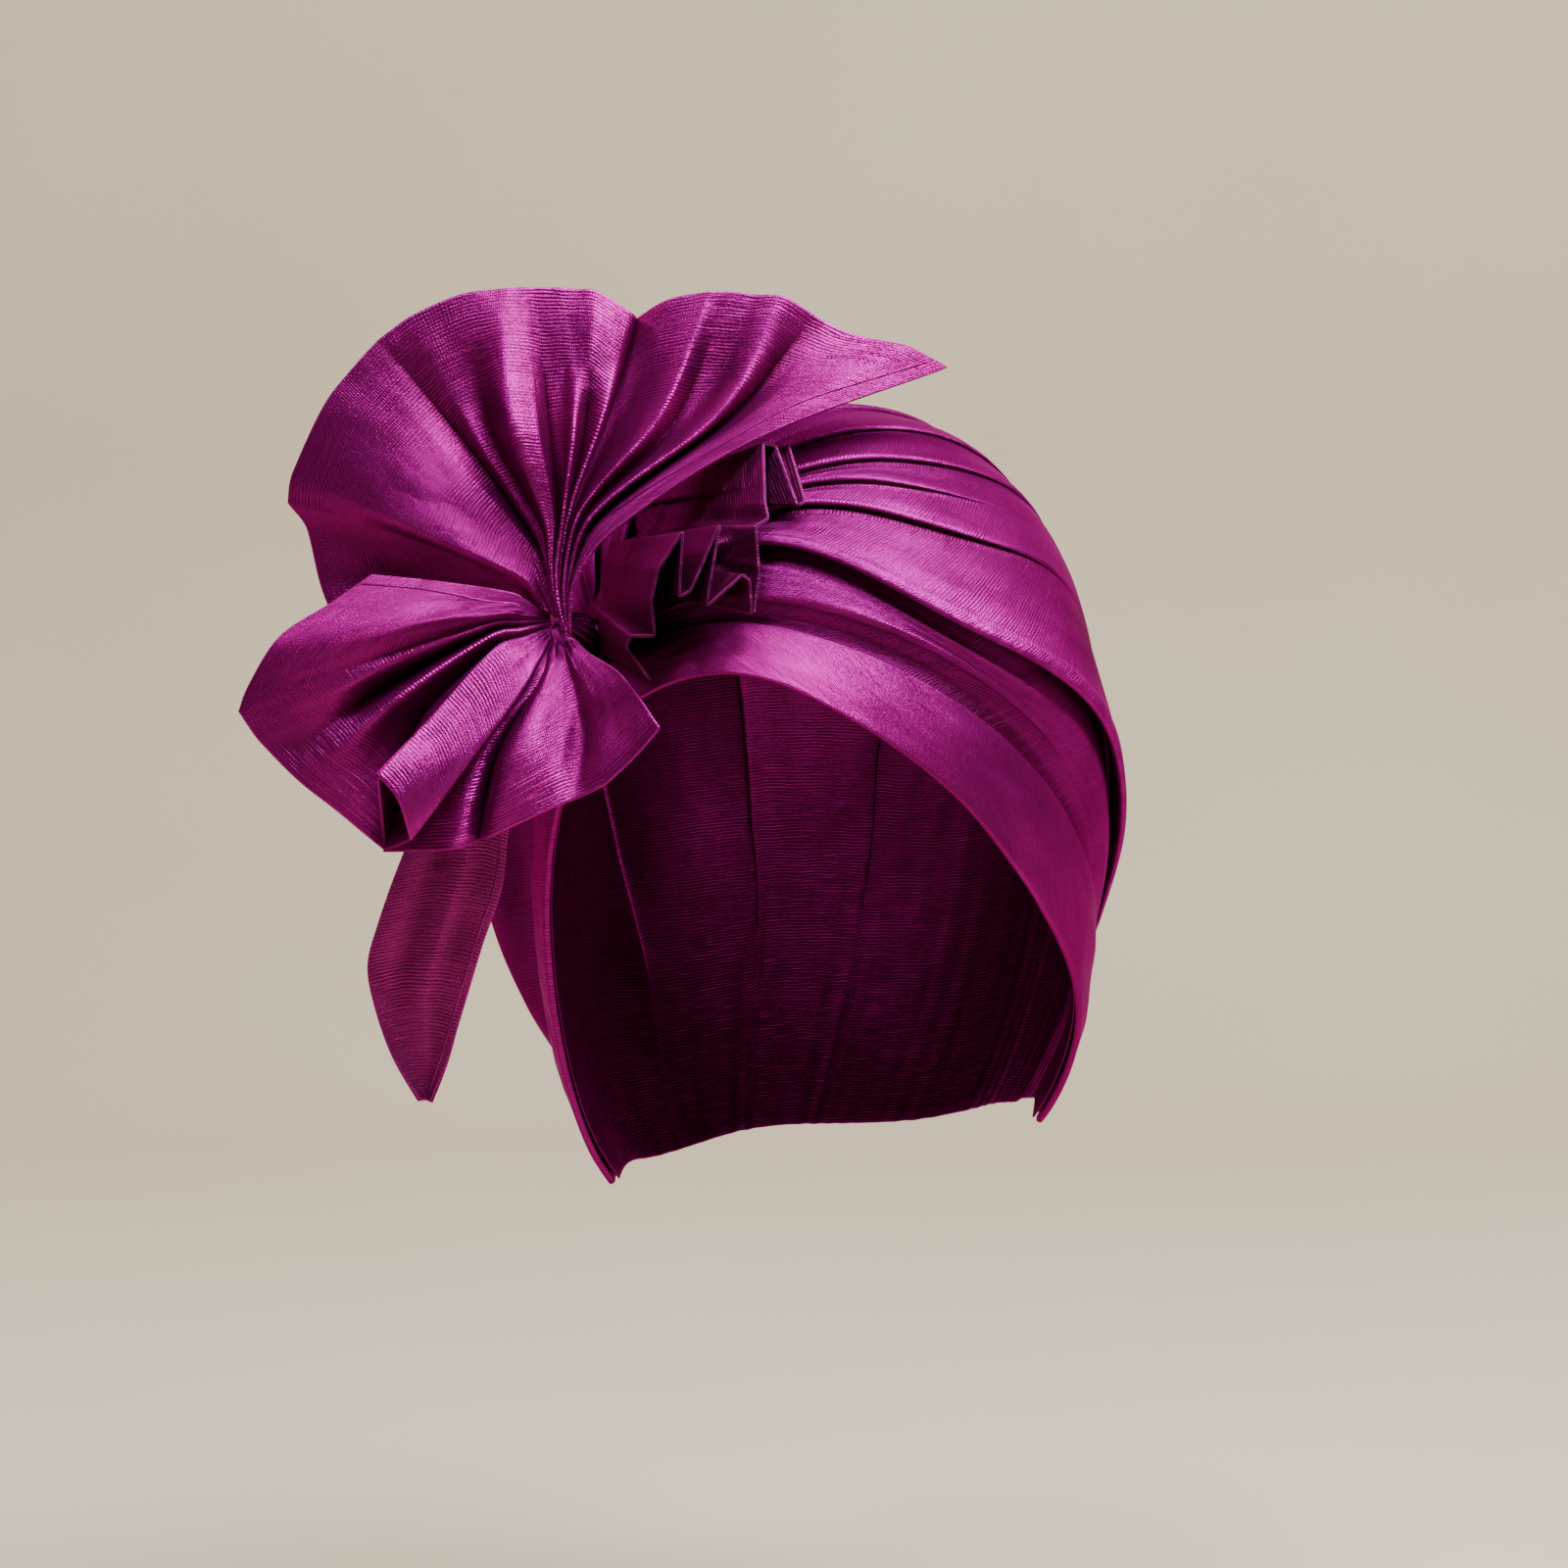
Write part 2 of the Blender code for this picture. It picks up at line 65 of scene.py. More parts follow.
RIM_PROFILES: dict[Edge, tuple[tuple[float, float], ...]] = {
    # share of the cloth thickness from its middle, then how far out in millimetres
    Edge.HEMMED: ((0.42, 0.22), (0.26, 0.30), (0.10, 0.12), (0.03, -0.9), (-0.03, -0.9), (-0.10, 0.12),
                  (-0.26, 0.30), (-0.42, 0.22)),
    Edge.FOLDED: ((0.40, 0.30), (0.20, 0.50), (0.0, 0.58), (-0.20, 0.50), (-0.40, 0.30)),
}


def unit(vectors: np.ndarray) -> np.ndarray:
    """Vectors made one long."""
    return vectors / np.maximum(np.linalg.norm(vectors, axis=-1, keepdims=True), 1e-12)


def smooth(low: float, high: float, value: np.ndarray | float) -> np.ndarray | float:
    """Soft step from 0 at low to 1 at high."""
    f = np.clip((np.asarray(value, float) - low) / (high - low), 0.0, 1.0)
    return f * f * (3 - 2 * f)


def through(stops: Sequence[float], values: np.ndarray, at: np.ndarray,
            crisp: Sequence[float] | None = None) -> np.ndarray:
    """Values on a smooth curve through rows of values.

    Args:
        stops: Place of each row, rising.
        values: One row of values for each stop.
        at: Places to read.
        crisp: For each stop, 0 for a rounded bend and 1 for a sharp one.

    Returns:
        One row of values for each place.
    """
    stops = np.asarray(stops, float)
    values = np.asarray(values, float).reshape(len(stops), -1)
    at = np.atleast_1d(np.asarray(at, float))
    order = np.arange(len(stops))
    low = np.maximum(order - 1, 0)
    high = np.minimum(order + 1, len(stops) - 1)
    slopes = (values[high] - values[low]) / (stops[high] - stops[low])[:, None]
    k = np.clip(np.searchsorted(stops, at, side="left") - 1, 0, len(stops) - 2)
    span = (stops[k + 1] - stops[k])[:, None]
    f = (at[:, None] - stops[k][:, None]) / span
    start_slope = slopes[k]
    end_slope = slopes[k + 1]
    if crisp is not None:
        sharp = np.asarray(crisp, float)
        chord = (values[k + 1] - values[k]) / span
        start_slope = start_slope + (chord - start_slope) * sharp[k][:, None]
        end_slope = end_slope + (chord - end_slope) * sharp[k + 1][:, None]
    start = values[k] * (2 * f**3 - 3 * f**2 + 1) + start_slope * span * (f**3 - 2 * f**2 + f)
    end = values[k + 1] * (3 * f**2 - 2 * f**3) + end_slope * span * (f**3 - f**2)
    return start + end


def ripple(u: np.ndarray, v: np.ndarray, seed: int, waves: int = 7) -> np.ndarray:
    """Soft seeded undulation between about -1 and 1.

    Args:
        u: First coordinate, with about one wave for each unit.
        v: Second coordinate, with about one wave for each unit.
        seed: Number that fixes the pattern.
        waves: How many waves are added up.

    Returns:
        Height for each place.
    """
    source = np.random.default_rng(seed)
    total = np.zeros(np.broadcast(u, v).shape)
    for _ in range(waves):
        turn = source.uniform(0, 2 * math.pi)
        speed = source.uniform(0.5, 1.6)
        phase = source.uniform(0, 2 * math.pi)
        total = total + np.sin(2 * math.pi * speed * (u * math.cos(turn) + v * math.sin(turn)) + phase)
    return total / waves * 1.6


@dataclass(frozen=True)
class Egg:
    """Rounded egg that cloth lies on; sizes in metres from the head centre."""

    width: float
    length: float
    rise: float
    drop: float
    roundness: float

    def halves(self, aims: np.ndarray) -> np.ndarray:
        """Half sizes for each aim, which differ above and below the centre.

        Args:
            aims: Unit vectors from the centre.

        Returns:
            Three half sizes for each aim.
        """
        half = np.empty_like(aims)
        half[..., 0] = self.width / 2
        half[..., 1] = self.length / 2
        half[..., 2] = np.where(aims[..., 2] > 0, self.rise, self.drop)
        return half

    def reach(self, aims: np.ndarray) -> np.ndarray:
        """Distance from the centre to the egg along each unit aim."""
        return np.sum((np.abs(aims) / self.halves(aims)) ** self.roundness, axis=-1) ** (-1 / self.roundness)

    def facing(self, aims: np.ndarray) -> np.ndarray:
        """Outward unit normal where each aim leaves the egg."""
        half = self.halves(aims)
        return unit(np.sign(aims) * (np.abs(aims) / half) ** (self.roundness - 1) / half)


HEAD = Egg(0.158, 0.198, 0.116, 0.140, 2.2)
CROWN = Egg(0.172, 0.210, 0.126, 0.146, 2.45)
HEAD_EASE = 0.001
CROWN_CLOTH = 0.002
BASE_LIFT = HEAD_EASE + CROWN_CLOTH
SEAT = np.array((0.0, 0.0, CROWN.rise + HEAD_EASE))
VIEWER = np.array((0.0, -1.0, 0.0))
PIECE_GAP = 0.0004
# metres from the head centre past which no cloth can lie on another
COVER_REACH = 0.175
# edge distance of a cloth without a free border
NO_BORDER = 1.0
# metres from the gather over which the side borders start to turn pale, part wear and part painted highlight
GATHERED_END = 0.006


def head_aim(shares: Sequence[float]) -> np.ndarray:
    """Unit vector from the head centre towards shares of the head's half sizes."""
    height = HEAD.rise if shares[2] > 0 else HEAD.drop
    return unit(np.array((shares[0] * HEAD.width / 2, shares[1] * HEAD.length / 2, shares[2] * height)))


KNOT_AIM = head_aim((-0.750, -0.548, 0.482))
BROW_AIM = head_aim((-0.82, -0.66, 0.27))
KNOT_RADIUS = 0.0080
KNOT_SEAT_RADIUS = 0.0050
BOW_STAND_OFF = 0.0195
KNOT_UP = HEAD.facing(KNOT_AIM)
KNOT_RISE = math.sqrt((KNOT_RADIUS + PIECE_GAP * 2) ** 2 - KNOT_SEAT_RADIUS**2)
KNOT = KNOT_AIM * HEAD.reach(KNOT_AIM) + KNOT_UP * (BASE_LIFT + KNOT_RISE)
GATHER = KNOT_AIM * (HEAD.reach(KNOT_AIM) + BOW_STAND_OFF)


def from_gather(right: np.ndarray | float, up: np.ndarray | float,
                towards: np.ndarray | float = 0.0) -> np.ndarray:
    """Places given in millimetres from the bow's gather.

    Args:
        right: Distance to the viewer's right, one number or an array whose last axis has length one.
        up: Distance up, the same.
        towards: Distance towards the viewer, the same.

    Returns:
        Places from the head centre.
    """
    across = right * np.array((1.0, 0.0, 0.0)) + up * np.array((0.0, 0.0, 1.0))
    return GATHER + (across + towards * VIEWER) * MM


STATIONS = (0.0, 0.2, 0.4, 0.6, 0.8, 1.0)
BAND_RIGHT = 0.09
BAND_LEFT = 0.92
# the band's border ribs start this many times farther from the knot than its rim
BAND_RIB_START = 2.1
CROWN_RIBS = (
    # across, then shares of the head at the stations after the first
    (0.00, (-0.30, -0.91, 0.44), (0.35, -0.96, 0.22), (0.77, -0.73, -0.11), (0.95, -0.30, -0.39),
     (0.82, 0.12, -0.63)),
    (BAND_RIGHT, (-0.30, -0.88, 0.57), (0.43, -0.93, 0.41), (0.92, -0.59, 0.05), (1.06, -0.15, -0.25),
     (0.86, 0.20, -0.61)),
    (0.16, (-0.20, -0.91, 0.63), (0.51, -0.91, 0.46), (0.98, -0.50, 0.10), (1.05, -0.08, -0.21),
     (0.86, 0.26, -0.62)),
    (0.27, (-0.20, -0.82, 0.74), (0.51, -0.87, 0.53), (1.03, -0.40, 0.24), (1.10, 0.05, -0.11),
     (0.81, 0.34, -0.63)),
    (0.40, (-0.13, -0.70, 0.87), (0.54, -0.56, 0.81), (0.99, 0.00, 0.59), (1.06, 0.40, 0.09),
     (0.70, 0.48, -0.64)),
    (0.50, (-0.18, -0.57, 0.96), (0.47, -0.25, 0.97), (0.88, 0.30, 0.73), (0.91, 0.73, 0.17),
     (0.48, 0.63, -0.67)),
    (0.62, (-0.50, -0.42, 0.93), (0.00, 0.10, 1.05), (0.48, 0.66, 0.78), (0.44, 0.99, 0.09),
     (0.10, 0.74, -0.70)),
    (0.74, (-0.78, -0.30, 0.78), (-0.63, 0.25, 0.86), (-0.23, 0.81, 0.60), (-0.15, 1.00, -0.07),
     (-0.23, 0.71, -0.71)),
    (0.84, (-0.94, -0.35, 0.57), (-1.00, 0.12, 0.50), (-0.84, 0.59, 0.26), (-0.63, 0.76, -0.29),
     (-0.48, 0.53, -0.71)),
    (BAND_LEFT, (-0.96, -0.42, 0.29), (-1.05, -0.22, 0.04), (-1.06, -0.10, -0.18), (-0.95, 0.02, -0.44),
     (-0.66, 0.25, -0.70)),
    (1.00, (-0.92, -0.53, 0.06), (-0.96, -0.44, -0.11), (-0.95, -0.37, -0.33), (-0.85, -0.25, -0.56),
     (-0.68, -0.03, -0.69)),
)


def rib_aims(row: tuple) -> np.ndarray:
    """Aims along one crown rib, from the knot's rim or the brow to the nape.

    Args:
        row: Place across the crown, then shares of the head at each station.

    Returns:
        Unit vectors from the head centre, one for each station.
    """
    first = head_aim(row[1])
    rim = KNOT_SEAT_RADIUS / HEAD.reach(KNOT_AIM)
    if row[0] in (0.0, 1.0):
        start = BROW_AIM
    elif row[0] in (BAND_RIGHT, BAND_LEFT):
        start = unit(KNOT_AIM + unit(BROW_AIM - KNOT_AIM) * (rim * BAND_RIB_START))
    else:
        start = unit(KNOT_AIM + unit(first - KNOT_AIM) * rim)
    return np.array([start] + [head_aim(shares) for shares in row[1:]])


RIB_PLACES = np.array([row[0] for row in CROWN_RIBS])
RIB_AIMS = np.array([rib_aims(row) for row in CROWN_RIBS])


def crown_base(across: np.ndarray, along: float) -> tuple[np.ndarray, np.ndarray]:
    """Places of the smooth crown sheet at one step along its ribs.

    Args:
        across: Shares across the sheet, from the face edge over the top to the temple.
        along: Share along the ribs, from the knot to the nape.

    Returns:
        Points and outward unit normals.
    """
    row = through(STATIONS, np.swapaxes(RIB_AIMS, 0, 1), np.array([along])).reshape(-1, 3)
    aims = unit(through(RIB_PLACES, row, across))
    full = smooth(BAND_RIGHT, 0.26, across) * (1 - smooth(0.80, BAND_LEFT, across))
    full = full * smooth(0.02, 0.30, along) * (1 - smooth(0.70, 1.0, along))
    base = HEAD.reach(aims) * (1 - full) + CROWN.reach(aims) * full
    out = unit(HEAD.facing(aims) * (1 - full)[:, None] + CROWN.facing(aims) * full[:, None])
    return aims * base[:, None] + out * (BASE_LIFT * (1 - full))[:, None], out


class Cover:
    """Cloth that lies on the head, searched for places to rest other cloth on."""

    def __init__(self) -> None:
        """Start with nothing."""
        self.points: list[tuple[float, ...]] = []
        self.faces: list[tuple[int, ...]] = []
        self.tree: BVHTree | None = None

    def add(self, grid: np.ndarray) -> None:
        """Add a cloth.

        Args:
            grid: Its outer points.
        """
        first = len(self.points)
        rows, columns = grid.shape[:2]
        self.points += [tuple(point) for point in grid.reshape(-1, 3)]
        for i in range(rows - 1):
            for j in range(columns - 1):
                a = first + i * columns + j
                self.faces.append((a, a + 1, a + columns + 1, a + columns))
        self.tree = BVHTree.FromPolygons(self.points, self.faces)

    def depth(self, aim: np.ndarray) -> float:
        """Distance from the head centre to the cloth's outside along a unit aim, or 0 past its border."""
        hit = self.tree.ray_cast(Vector(aim * 0.5), Vector(-aim))
        return hit[0].length if hit[0] is not None else 0.0

    def rest(self, grid: np.ndarray, gap: float, soft: float = 0.003) -> np.ndarray:
        """Points moved out where they are too near the cloth.

        Args:
            grid: Points.
            gap: Least height above the cloth.
            soft: Height over which a point starts to give way.

        Returns:
            The moved points.
        """
        flat = grid.reshape(-1, 3).copy()
        sizes = np.linalg.norm(flat, axis=1)
        for n, size in enumerate(sizes):
            if size > COVER_REACH:
                continue
            aim = flat[n] / size
            least = self.depth(aim)
            if least:
                over = size - least - gap
                if over < soft:
                    lifted = soft * math.exp((over - soft) / soft)
                    flat[n] = aim * (least + gap + max(lifted, over))
        return flat.reshape(grid.shape)

    def front(self, right: float, up: float, otherwise: float = 0.05) -> float:
        """How far towards the viewer the cloth is at a place seen from the front.

        Args:
            right: Place to the viewer's right of the head centre.
            up: Place above it.
            otherwise: Result where there is no cloth.

        Returns:
            Metres from the head centre.
        """
        hit = self.tree.ray_cast(Vector((right, -0.5, up)), Vector((0.0, 1.0, 0.0)))
        return -hit[0].y if hit[0] is not None else otherwise


def grid_normals(points: np.ndarray) -> np.ndarray:
    """Unit normals of a grid, which point to where its rows run anticlockwise.

    Args:
        points: Grid of places.

    Returns:
        One normal for each place.
    """
    across = np.gradient(points, axis=1)
    along = np.gradient(points, axis=0)
    return unit(np.cross(across, along))


def arc_lengths(points: np.ndarray) -> tuple[np.ndarray, np.ndarray]:
    """Lengths along the rows and columns of a grid, each from its first point.

    Args:
        points: Grid of places.

    Returns:
        Length along its row and length down its column for each place.
    """
    across = np.linalg.norm(np.diff(points, axis=1), axis=2)
    along = np.linalg.norm(np.diff(points, axis=0), axis=2)
    u = np.concatenate([np.zeros((points.shape[0], 1)), np.cumsum(across, axis=1)], axis=1)
    v = np.concatenate([np.zeros((1, points.shape[1])), np.cumsum(along, axis=0)], axis=0)
    return u, v


def dressed(mesh: bpy.types.Mesh, places: np.ndarray, shades: dict[str, np.ndarray],
            material: bpy.types.Material | None) -> bpy.types.Object:
    """New piece from a mesh, with its weave places, shades and finish.

    Args:
        mesh: Faces of the piece, under its name.
        places: Place on the weave for each point.
        shades: Values for each point, by name.
        material: Its finish, or None where the mesh has one.

    Returns:
        The new piece.
    """
    layer = mesh.uv_layers.new(name=UV_NAME)
    loops = np.empty(len(mesh.loops), dtype=np.int32)
    mesh.loops.foreach_get("vertex_index", loops)
    layer.data.foreach_set("uv", places[loops].ravel())
    for label, values in shades.items():
        mesh.attributes.new(label, "FLOAT", "POINT").data.foreach_set("value", values)
    mesh.polygons.foreach_set("use_smooth", [True] * len(mesh.polygons))
    if material is not None:
        mesh.materials.append(material)
    piece = bpy.data.objects.new(mesh.name, mesh)
    bpy.context.scene.collection.objects.link(piece)
    return piece


def facing_out(points: np.ndarray, row: int) -> np.ndarray:
    """Grid with its columns turned round where needed, so that its normals point away from the head.

    Args:
        points: Grid of places.
        row: Row whose normals decide.

    Returns:
        The grid.
    """
    outward = float(np.sum(grid_normals(points)[row] * unit(points[row])))
    return points[:, ::-1] if outward < 0 else points


def facing_viewer(points: np.ndarray) -> np.ndarray:
    """Grid with its columns turned round where needed, so that its middle row faces the viewer.

    Args:
        points: Grid of places.

    Returns:
        The grid.
    """
    away = float(grid_normals(points)[len(points) // 2, :, 1].mean())
    return points[:, ::-1] if away > 0 else points


@dataclass
class ClothGrid:
    """A cloth given by a grid of places, with what its weave and its painted shade and highlight need."""

    points: np.ndarray
    thickness: float
    edge: Edge
    offset: float = 0.0
    free_last: bool = True
    free_sides: bool = True
    bend_radius: float = 10.0

    def weave_places(self) -> np.ndarray:
        """Weave coordinates in metres, with the cross ribs running along the rows.

        Returns:
            Place across and down the weave for each place of the grid.
        """
        u, v = arc_lengths(self.points)
        flat_u = np.broadcast_to(u.mean(axis=0), u.shape)
        return np.stack([flat_u, v - v[-1:, :]], axis=2)

    def edge_distance(self) -> np.ndarray:
        """Distance of each place to the nearest free border.

        Returns:
            Metres for each place, or NO_BORDER where no border is free.
        """
        u, v = arc_lengths(self.points)
        far = np.full(u.shape, NO_BORDER)
        if self.free_sides:
            far = np.minimum(far, np.minimum(u, u[:, -1:] - u) + np.maximum(GATHERED_END - v, 0.0))
        if self.free_last:
            far = np.minimum(far, v[-1:, :] - v)
        return far

    def fold_height(self) -> np.ndarray:
        """How far each place stands over its neighbours across the rows; the silk paints shade where this is
        low and a highlight where it is high.

        Returns:
            Millimetres for each place, without the broad bend of the head.
        """
        normals = grid_normals(self.points)
        total = np.zeros(self.points.shape[:2])
        for step in (2, 5):
            padded = np.pad(self.points, ((0, 0), (step, step), (0, 0)), mode="edge")
            ahead, behind = padded[:, 2 * step:], padded[:, : -2 * step]
            half = np.linalg.norm(ahead - behind, axis=2) / 2
            above = np.sum((self.points - (ahead + behind) / 2) * normals, axis=2)
            total += above - half**2 / (2 * self.bend_radius)
        return total / MM / 2

    def inside_line(self, inset: float, first_row: int, begin: bool = False) -> np.ndarray:
        """Line on the front face, a set distance inside the border that ends or begins each row.

        Args:
            inset: Distance from that border.
            first_row: Row where the line starts.
            begin: Follow the border that begins each row.

        Returns:
            Places along the line, one for each row.
        """
        u, _ = arc_lengths(self.points)
        face = self.points + grid_normals(self.points) * (self.thickness * (1 + self.offset) / 2)
        line = []
        for i in range(first_row, len(face) - 1):
            at = min(inset, u[i, -1] * 0.5) if begin else max(u[i, -1] - inset, u[i, -1] * 0.5)
            line.append([np.interp(at, u[i], face[i, :, axis]) for axis in range(3)])
        return np.array(line)

    def border(self) -> tuple[np.ndarray, np.ndarray]:
        """Places round the border, in order.

        Returns:
            Row and column of each place, and the unit vector out of the cloth there.
        """
        points = self.points
        rows, columns = points.shape[:2]
        border = [(0, j) for j in range(columns)]
        border += [(i, columns - 1) for i in range(1, rows)]
        border += [(rows - 1, j) for j in range(columns - 2, -1, -1)]
        border += [(i, 0) for i in range(rows - 2, 0, -1)]
        away = []
        for i, j in border:
            out = np.zeros(3)
            if i in (0, rows - 1):
                out += unit(points[i, j] - points[1 if i == 0 else rows - 2, j])
            if j in (0, columns - 1):
                out += unit(points[i, j] - points[i, 1 if j == 0 else columns - 2])
            away.append(unit(out))
        return np.array(border), np.array(away)

    def mesh(self, name: str, material: bpy.types.Material) -> bpy.types.Object:
        """Closed cloth of two layers.

        Args:
            name: Name of the new piece.
            material: Its finish.

        Returns:
            The new object.
        """
        points = self.points
        rows, columns = points.shape[:2]
        count = rows * columns
        normals = grid_normals(points)
        front = points + normals * (self.thickness * (1 + self.offset) / 2)
        back = points - normals * (self.thickness * (1 - self.offset) / 2)
        index = np.arange(count).reshape(rows, columns)
        at, away = self.border()
        line = index[at[:, 0], at[:, 1]]
        middle = ((front + back) / 2).reshape(-1, 3)[line]
        upright = normals.reshape(-1, 3)[line]
        verts = [front.reshape(-1, 3), back.reshape(-1, 3)]
        rings = [line]
        for share, out_mm in RIM_PROFILES[self.edge]:
            ring = middle + upright * (self.thickness * share)
            verts.append(ring + away * (out_mm * MM))
            rings.append(np.arange(len(line)) + 2 * count + (len(rings) - 1) * len(line))
        rings.append(line + count)
        a, b, c, d = index[:-1, :-1], index[:-1, 1:], index[1:, 1:], index[1:, :-1]
        sheet = np.stack([a, b, c, d], axis=-1).reshape(-1, 4)
        faces = [sheet, sheet[:, ::-1] + count]
        for low, high in zip(rings, rings[1:]):
            faces.append(np.stack([low, high, np.roll(high, -1), np.roll(low, -1)], axis=1))
        mesh = bpy.data.meshes.new(name)
        mesh.from_pydata((np.concatenate(verts) - SEAT).tolist(), [], np.concatenate(faces).tolist())
        source = np.concatenate([index.ravel(), index.ravel()] + [line] * (len(rings) - 2))
        sides = np.ones(len(source))
        sides[count: 2 * count] = -1
        shades = {EDGE_NAME: self.edge_distance().ravel()[source],
                  FOLD_NAME: self.fold_height().ravel()[source] * sides}
        return dressed(mesh, self.weave_places().reshape(-1, 2)[source], shades, material)


class Nodes:
    """Short way to place and join shader nodes in one tree."""

    def __init__(self, tree: bpy.types.NodeTree) -> None:
        """Keep the tree."""
        self.tree = tree

    def add(self, kind: str, inputs: dict | None = None, **settings: object) -> bpy.types.Node:
        """Place a node.

        Args:
            kind: Blender's name of the node type.
            inputs: Values or sockets for its inputs, by name or place.
            **settings: Properties of the node.

        Returns:
            The new node.
        """
        node = self.tree.nodes.new(kind)
        for key, value in settings.items():
            setattr(node, key, value)
        for key, value in (inputs or {}).items():
            if isinstance(value, bpy.types.NodeSocket):
                self.tree.links.new(value, node.inputs[key])
            else:
                node.inputs[key].default_value = value
        return node

    def math(self, operation: str, first: object, second: object = 0.0,
             third: object = 0.0) -> bpy.types.NodeSocket:
        """Result of one step of arithmetic."""
        return self.add("ShaderNodeMath", {0: first, 1: second, 2: third}, operation=operation).outputs[0]

    def range(self, value: object, low: float, high: float, to_low: float = 0.0,
              to_high: float = 1.0) -> bpy.types.NodeSocket:
        """Value carried from one range to another, held at its ends."""
        inputs = {"Value": value, "From Min": low, "From Max": high, "To Min": to_low, "To Max": to_high}
        return self.add("ShaderNodeMapRange", inputs, clamp=True).outputs[0]

    def colour_mix(self, share: object, first: object, second: object) -> bpy.types.NodeSocket:
        """Two colours mixed by a share."""
        return self.add("ShaderNodeMix", {0: share, 6: first, 7: second}, data_type="RGBA").outputs[2]

    def scaled(self, place: object, factors: tuple[float, float, float]) -> bpy.types.NodeSocket:
        """Place times three factors."""
        return self.add("ShaderNodeVectorMath", {0: place, 1: factors}, operation="MULTIPLY").outputs[0]

    def noise(self, place: object, scale: float, detail: float = 2.0, dimensions: str = "2D",
              roughness: float = 0.5) -> bpy.types.NodeSocket:
        """Soft noise between 0 and 1."""
        inputs = {"Vector": place, "Scale": scale, "Detail": detail, "Roughness": roughness}
        return self.add("ShaderNodeTexNoise", inputs, noise_dimensions=dimensions).outputs["Fac"]


def shader_group(name: str, inputs: dict[str, tuple[str, object]],
                 outputs: dict[str, str]) -> bpy.types.NodeTree:
    """New shader node group with its named sockets.

    Args:
        name: Name of the group.
        inputs: Socket type and first value for each input.
        outputs: Socket type for each output.

    Returns:
        The group's tree.
    """
    tree = bpy.data.node_groups.new(name, "ShaderNodeTree")
    for label, (kind, value) in inputs.items():
        socket = tree.interface.new_socket(label, in_out="INPUT", socket_type=kind)
        if value is not None:
            socket.default_value = value
    for label, kind in outputs.items():
        tree.interface.new_socket(label, in_out="OUTPUT", socket_type=kind)
    tree.nodes.new("NodeGroupInput")
    tree.nodes.new("NodeGroupOutput")
    return tree


def weave_group() -> bpy.types.NodeTree:
    """Cross-ribbed silk weave with thicker threads here and there.

    Returns:
        Group that gives the weave's height and tone.
    """
    tree = shader_group(
        "ribbed silk weave",
        {"Weave Place": ("NodeSocketVector", None), "Rib Pitch mm": ("NodeSocketFloat", 1.0),
         "Thread Pitch mm": ("NodeSocketFloat", 0.42), "Slubs": ("NodeSocketFloat", 1.0),
         "Crumple": ("NodeSocketFloat", 1.0)},
        {"Height": "NodeSocketFloat", "Tone": "NodeSocketFloat"},
    )
    nodes = Nodes(tree)
    entry, leave = tree.nodes["Group Input"], tree.nodes["Group Output"]
    rib_height, thread_height, grain_height, slub_height, crumple_height = 0.32, 0.10, 0.9, 0.5, 6.5
    rib_tone, grain_tone, slub_tone = 0.17, 0.7, 0.22
    wander = 1.3
    place = nodes.scaled(entry.outputs["Weave Place"], (1 / MM, 1 / MM, 1 / MM))
    warp_noise = nodes.noise(place, scale=0.11, detail=3.0)
    split = nodes.add("ShaderNodeSeparateXYZ", {0: place})
    shift = nodes.math("MULTIPLY_ADD", warp_noise, wander, split.outputs["Y"])
    turns = nodes.math("DIVIDE", shift, entry.outputs["Rib Pitch mm"])
    rib = nodes.math("SINE", nodes.math("MULTIPLY", turns, 2 * math.pi))
    across = nodes.math("DIVIDE", split.outputs["X"], entry.outputs["Thread Pitch mm"])
    thread = nodes.math("SINE", nodes.math("MULTIPLY", across, 2 * math.pi))
    slub = nodes.noise(nodes.scaled(place, (0.09, 1.9, 1.0)), scale=1.0)
    slub_mask = nodes.range(slub, 0.58, 0.74)
    slub_mask = nodes.math("MULTIPLY", slub_mask, entry.outputs["Slubs"])
    grain = nodes.noise(place, scale=2.6)
    rib_share = nodes.range(nodes.noise(place, scale=0.07), 0.38, 0.62, 0.35, 1.0)
    bend = nodes.noise(nodes.scaled(place, (0.070, 0.028, 1.0)), scale=1.0, detail=3.0, roughness=0.45)
    crumple = nodes.math("ABSOLUTE", nodes.math("SUBTRACT", bend, 0.5))
    crumple = nodes.math("MULTIPLY", crumple, entry.outputs["Crumple"])
    height = nodes.math("MULTIPLY", rib, nodes.math("MULTIPLY", rib_share, rib_height))
    height = nodes.math("MULTIPLY_ADD", thread, thread_height, height)
    height = nodes.math("MULTIPLY_ADD", grain, grain_height, height)
    height = nodes.math("MULTIPLY_ADD", slub_mask, slub_height, height)
    height = nodes.math("MULTIPLY_ADD", crumple, crumple_height, height)
    tone = nodes.math("MULTIPLY_ADD", rib, nodes.math("MULTIPLY", rib_share, rib_tone), 0.5)
    tone = nodes.math("MULTIPLY_ADD", nodes.math("SUBTRACT", grain, 0.5), grain_tone, tone)
    tone = nodes.math("MULTIPLY_ADD", slub_mask, slub_tone, tone)
    tree.links.new(height, leave.inputs["Height"])
    tree.links.new(tone, leave.inputs["Tone"])
    return tree


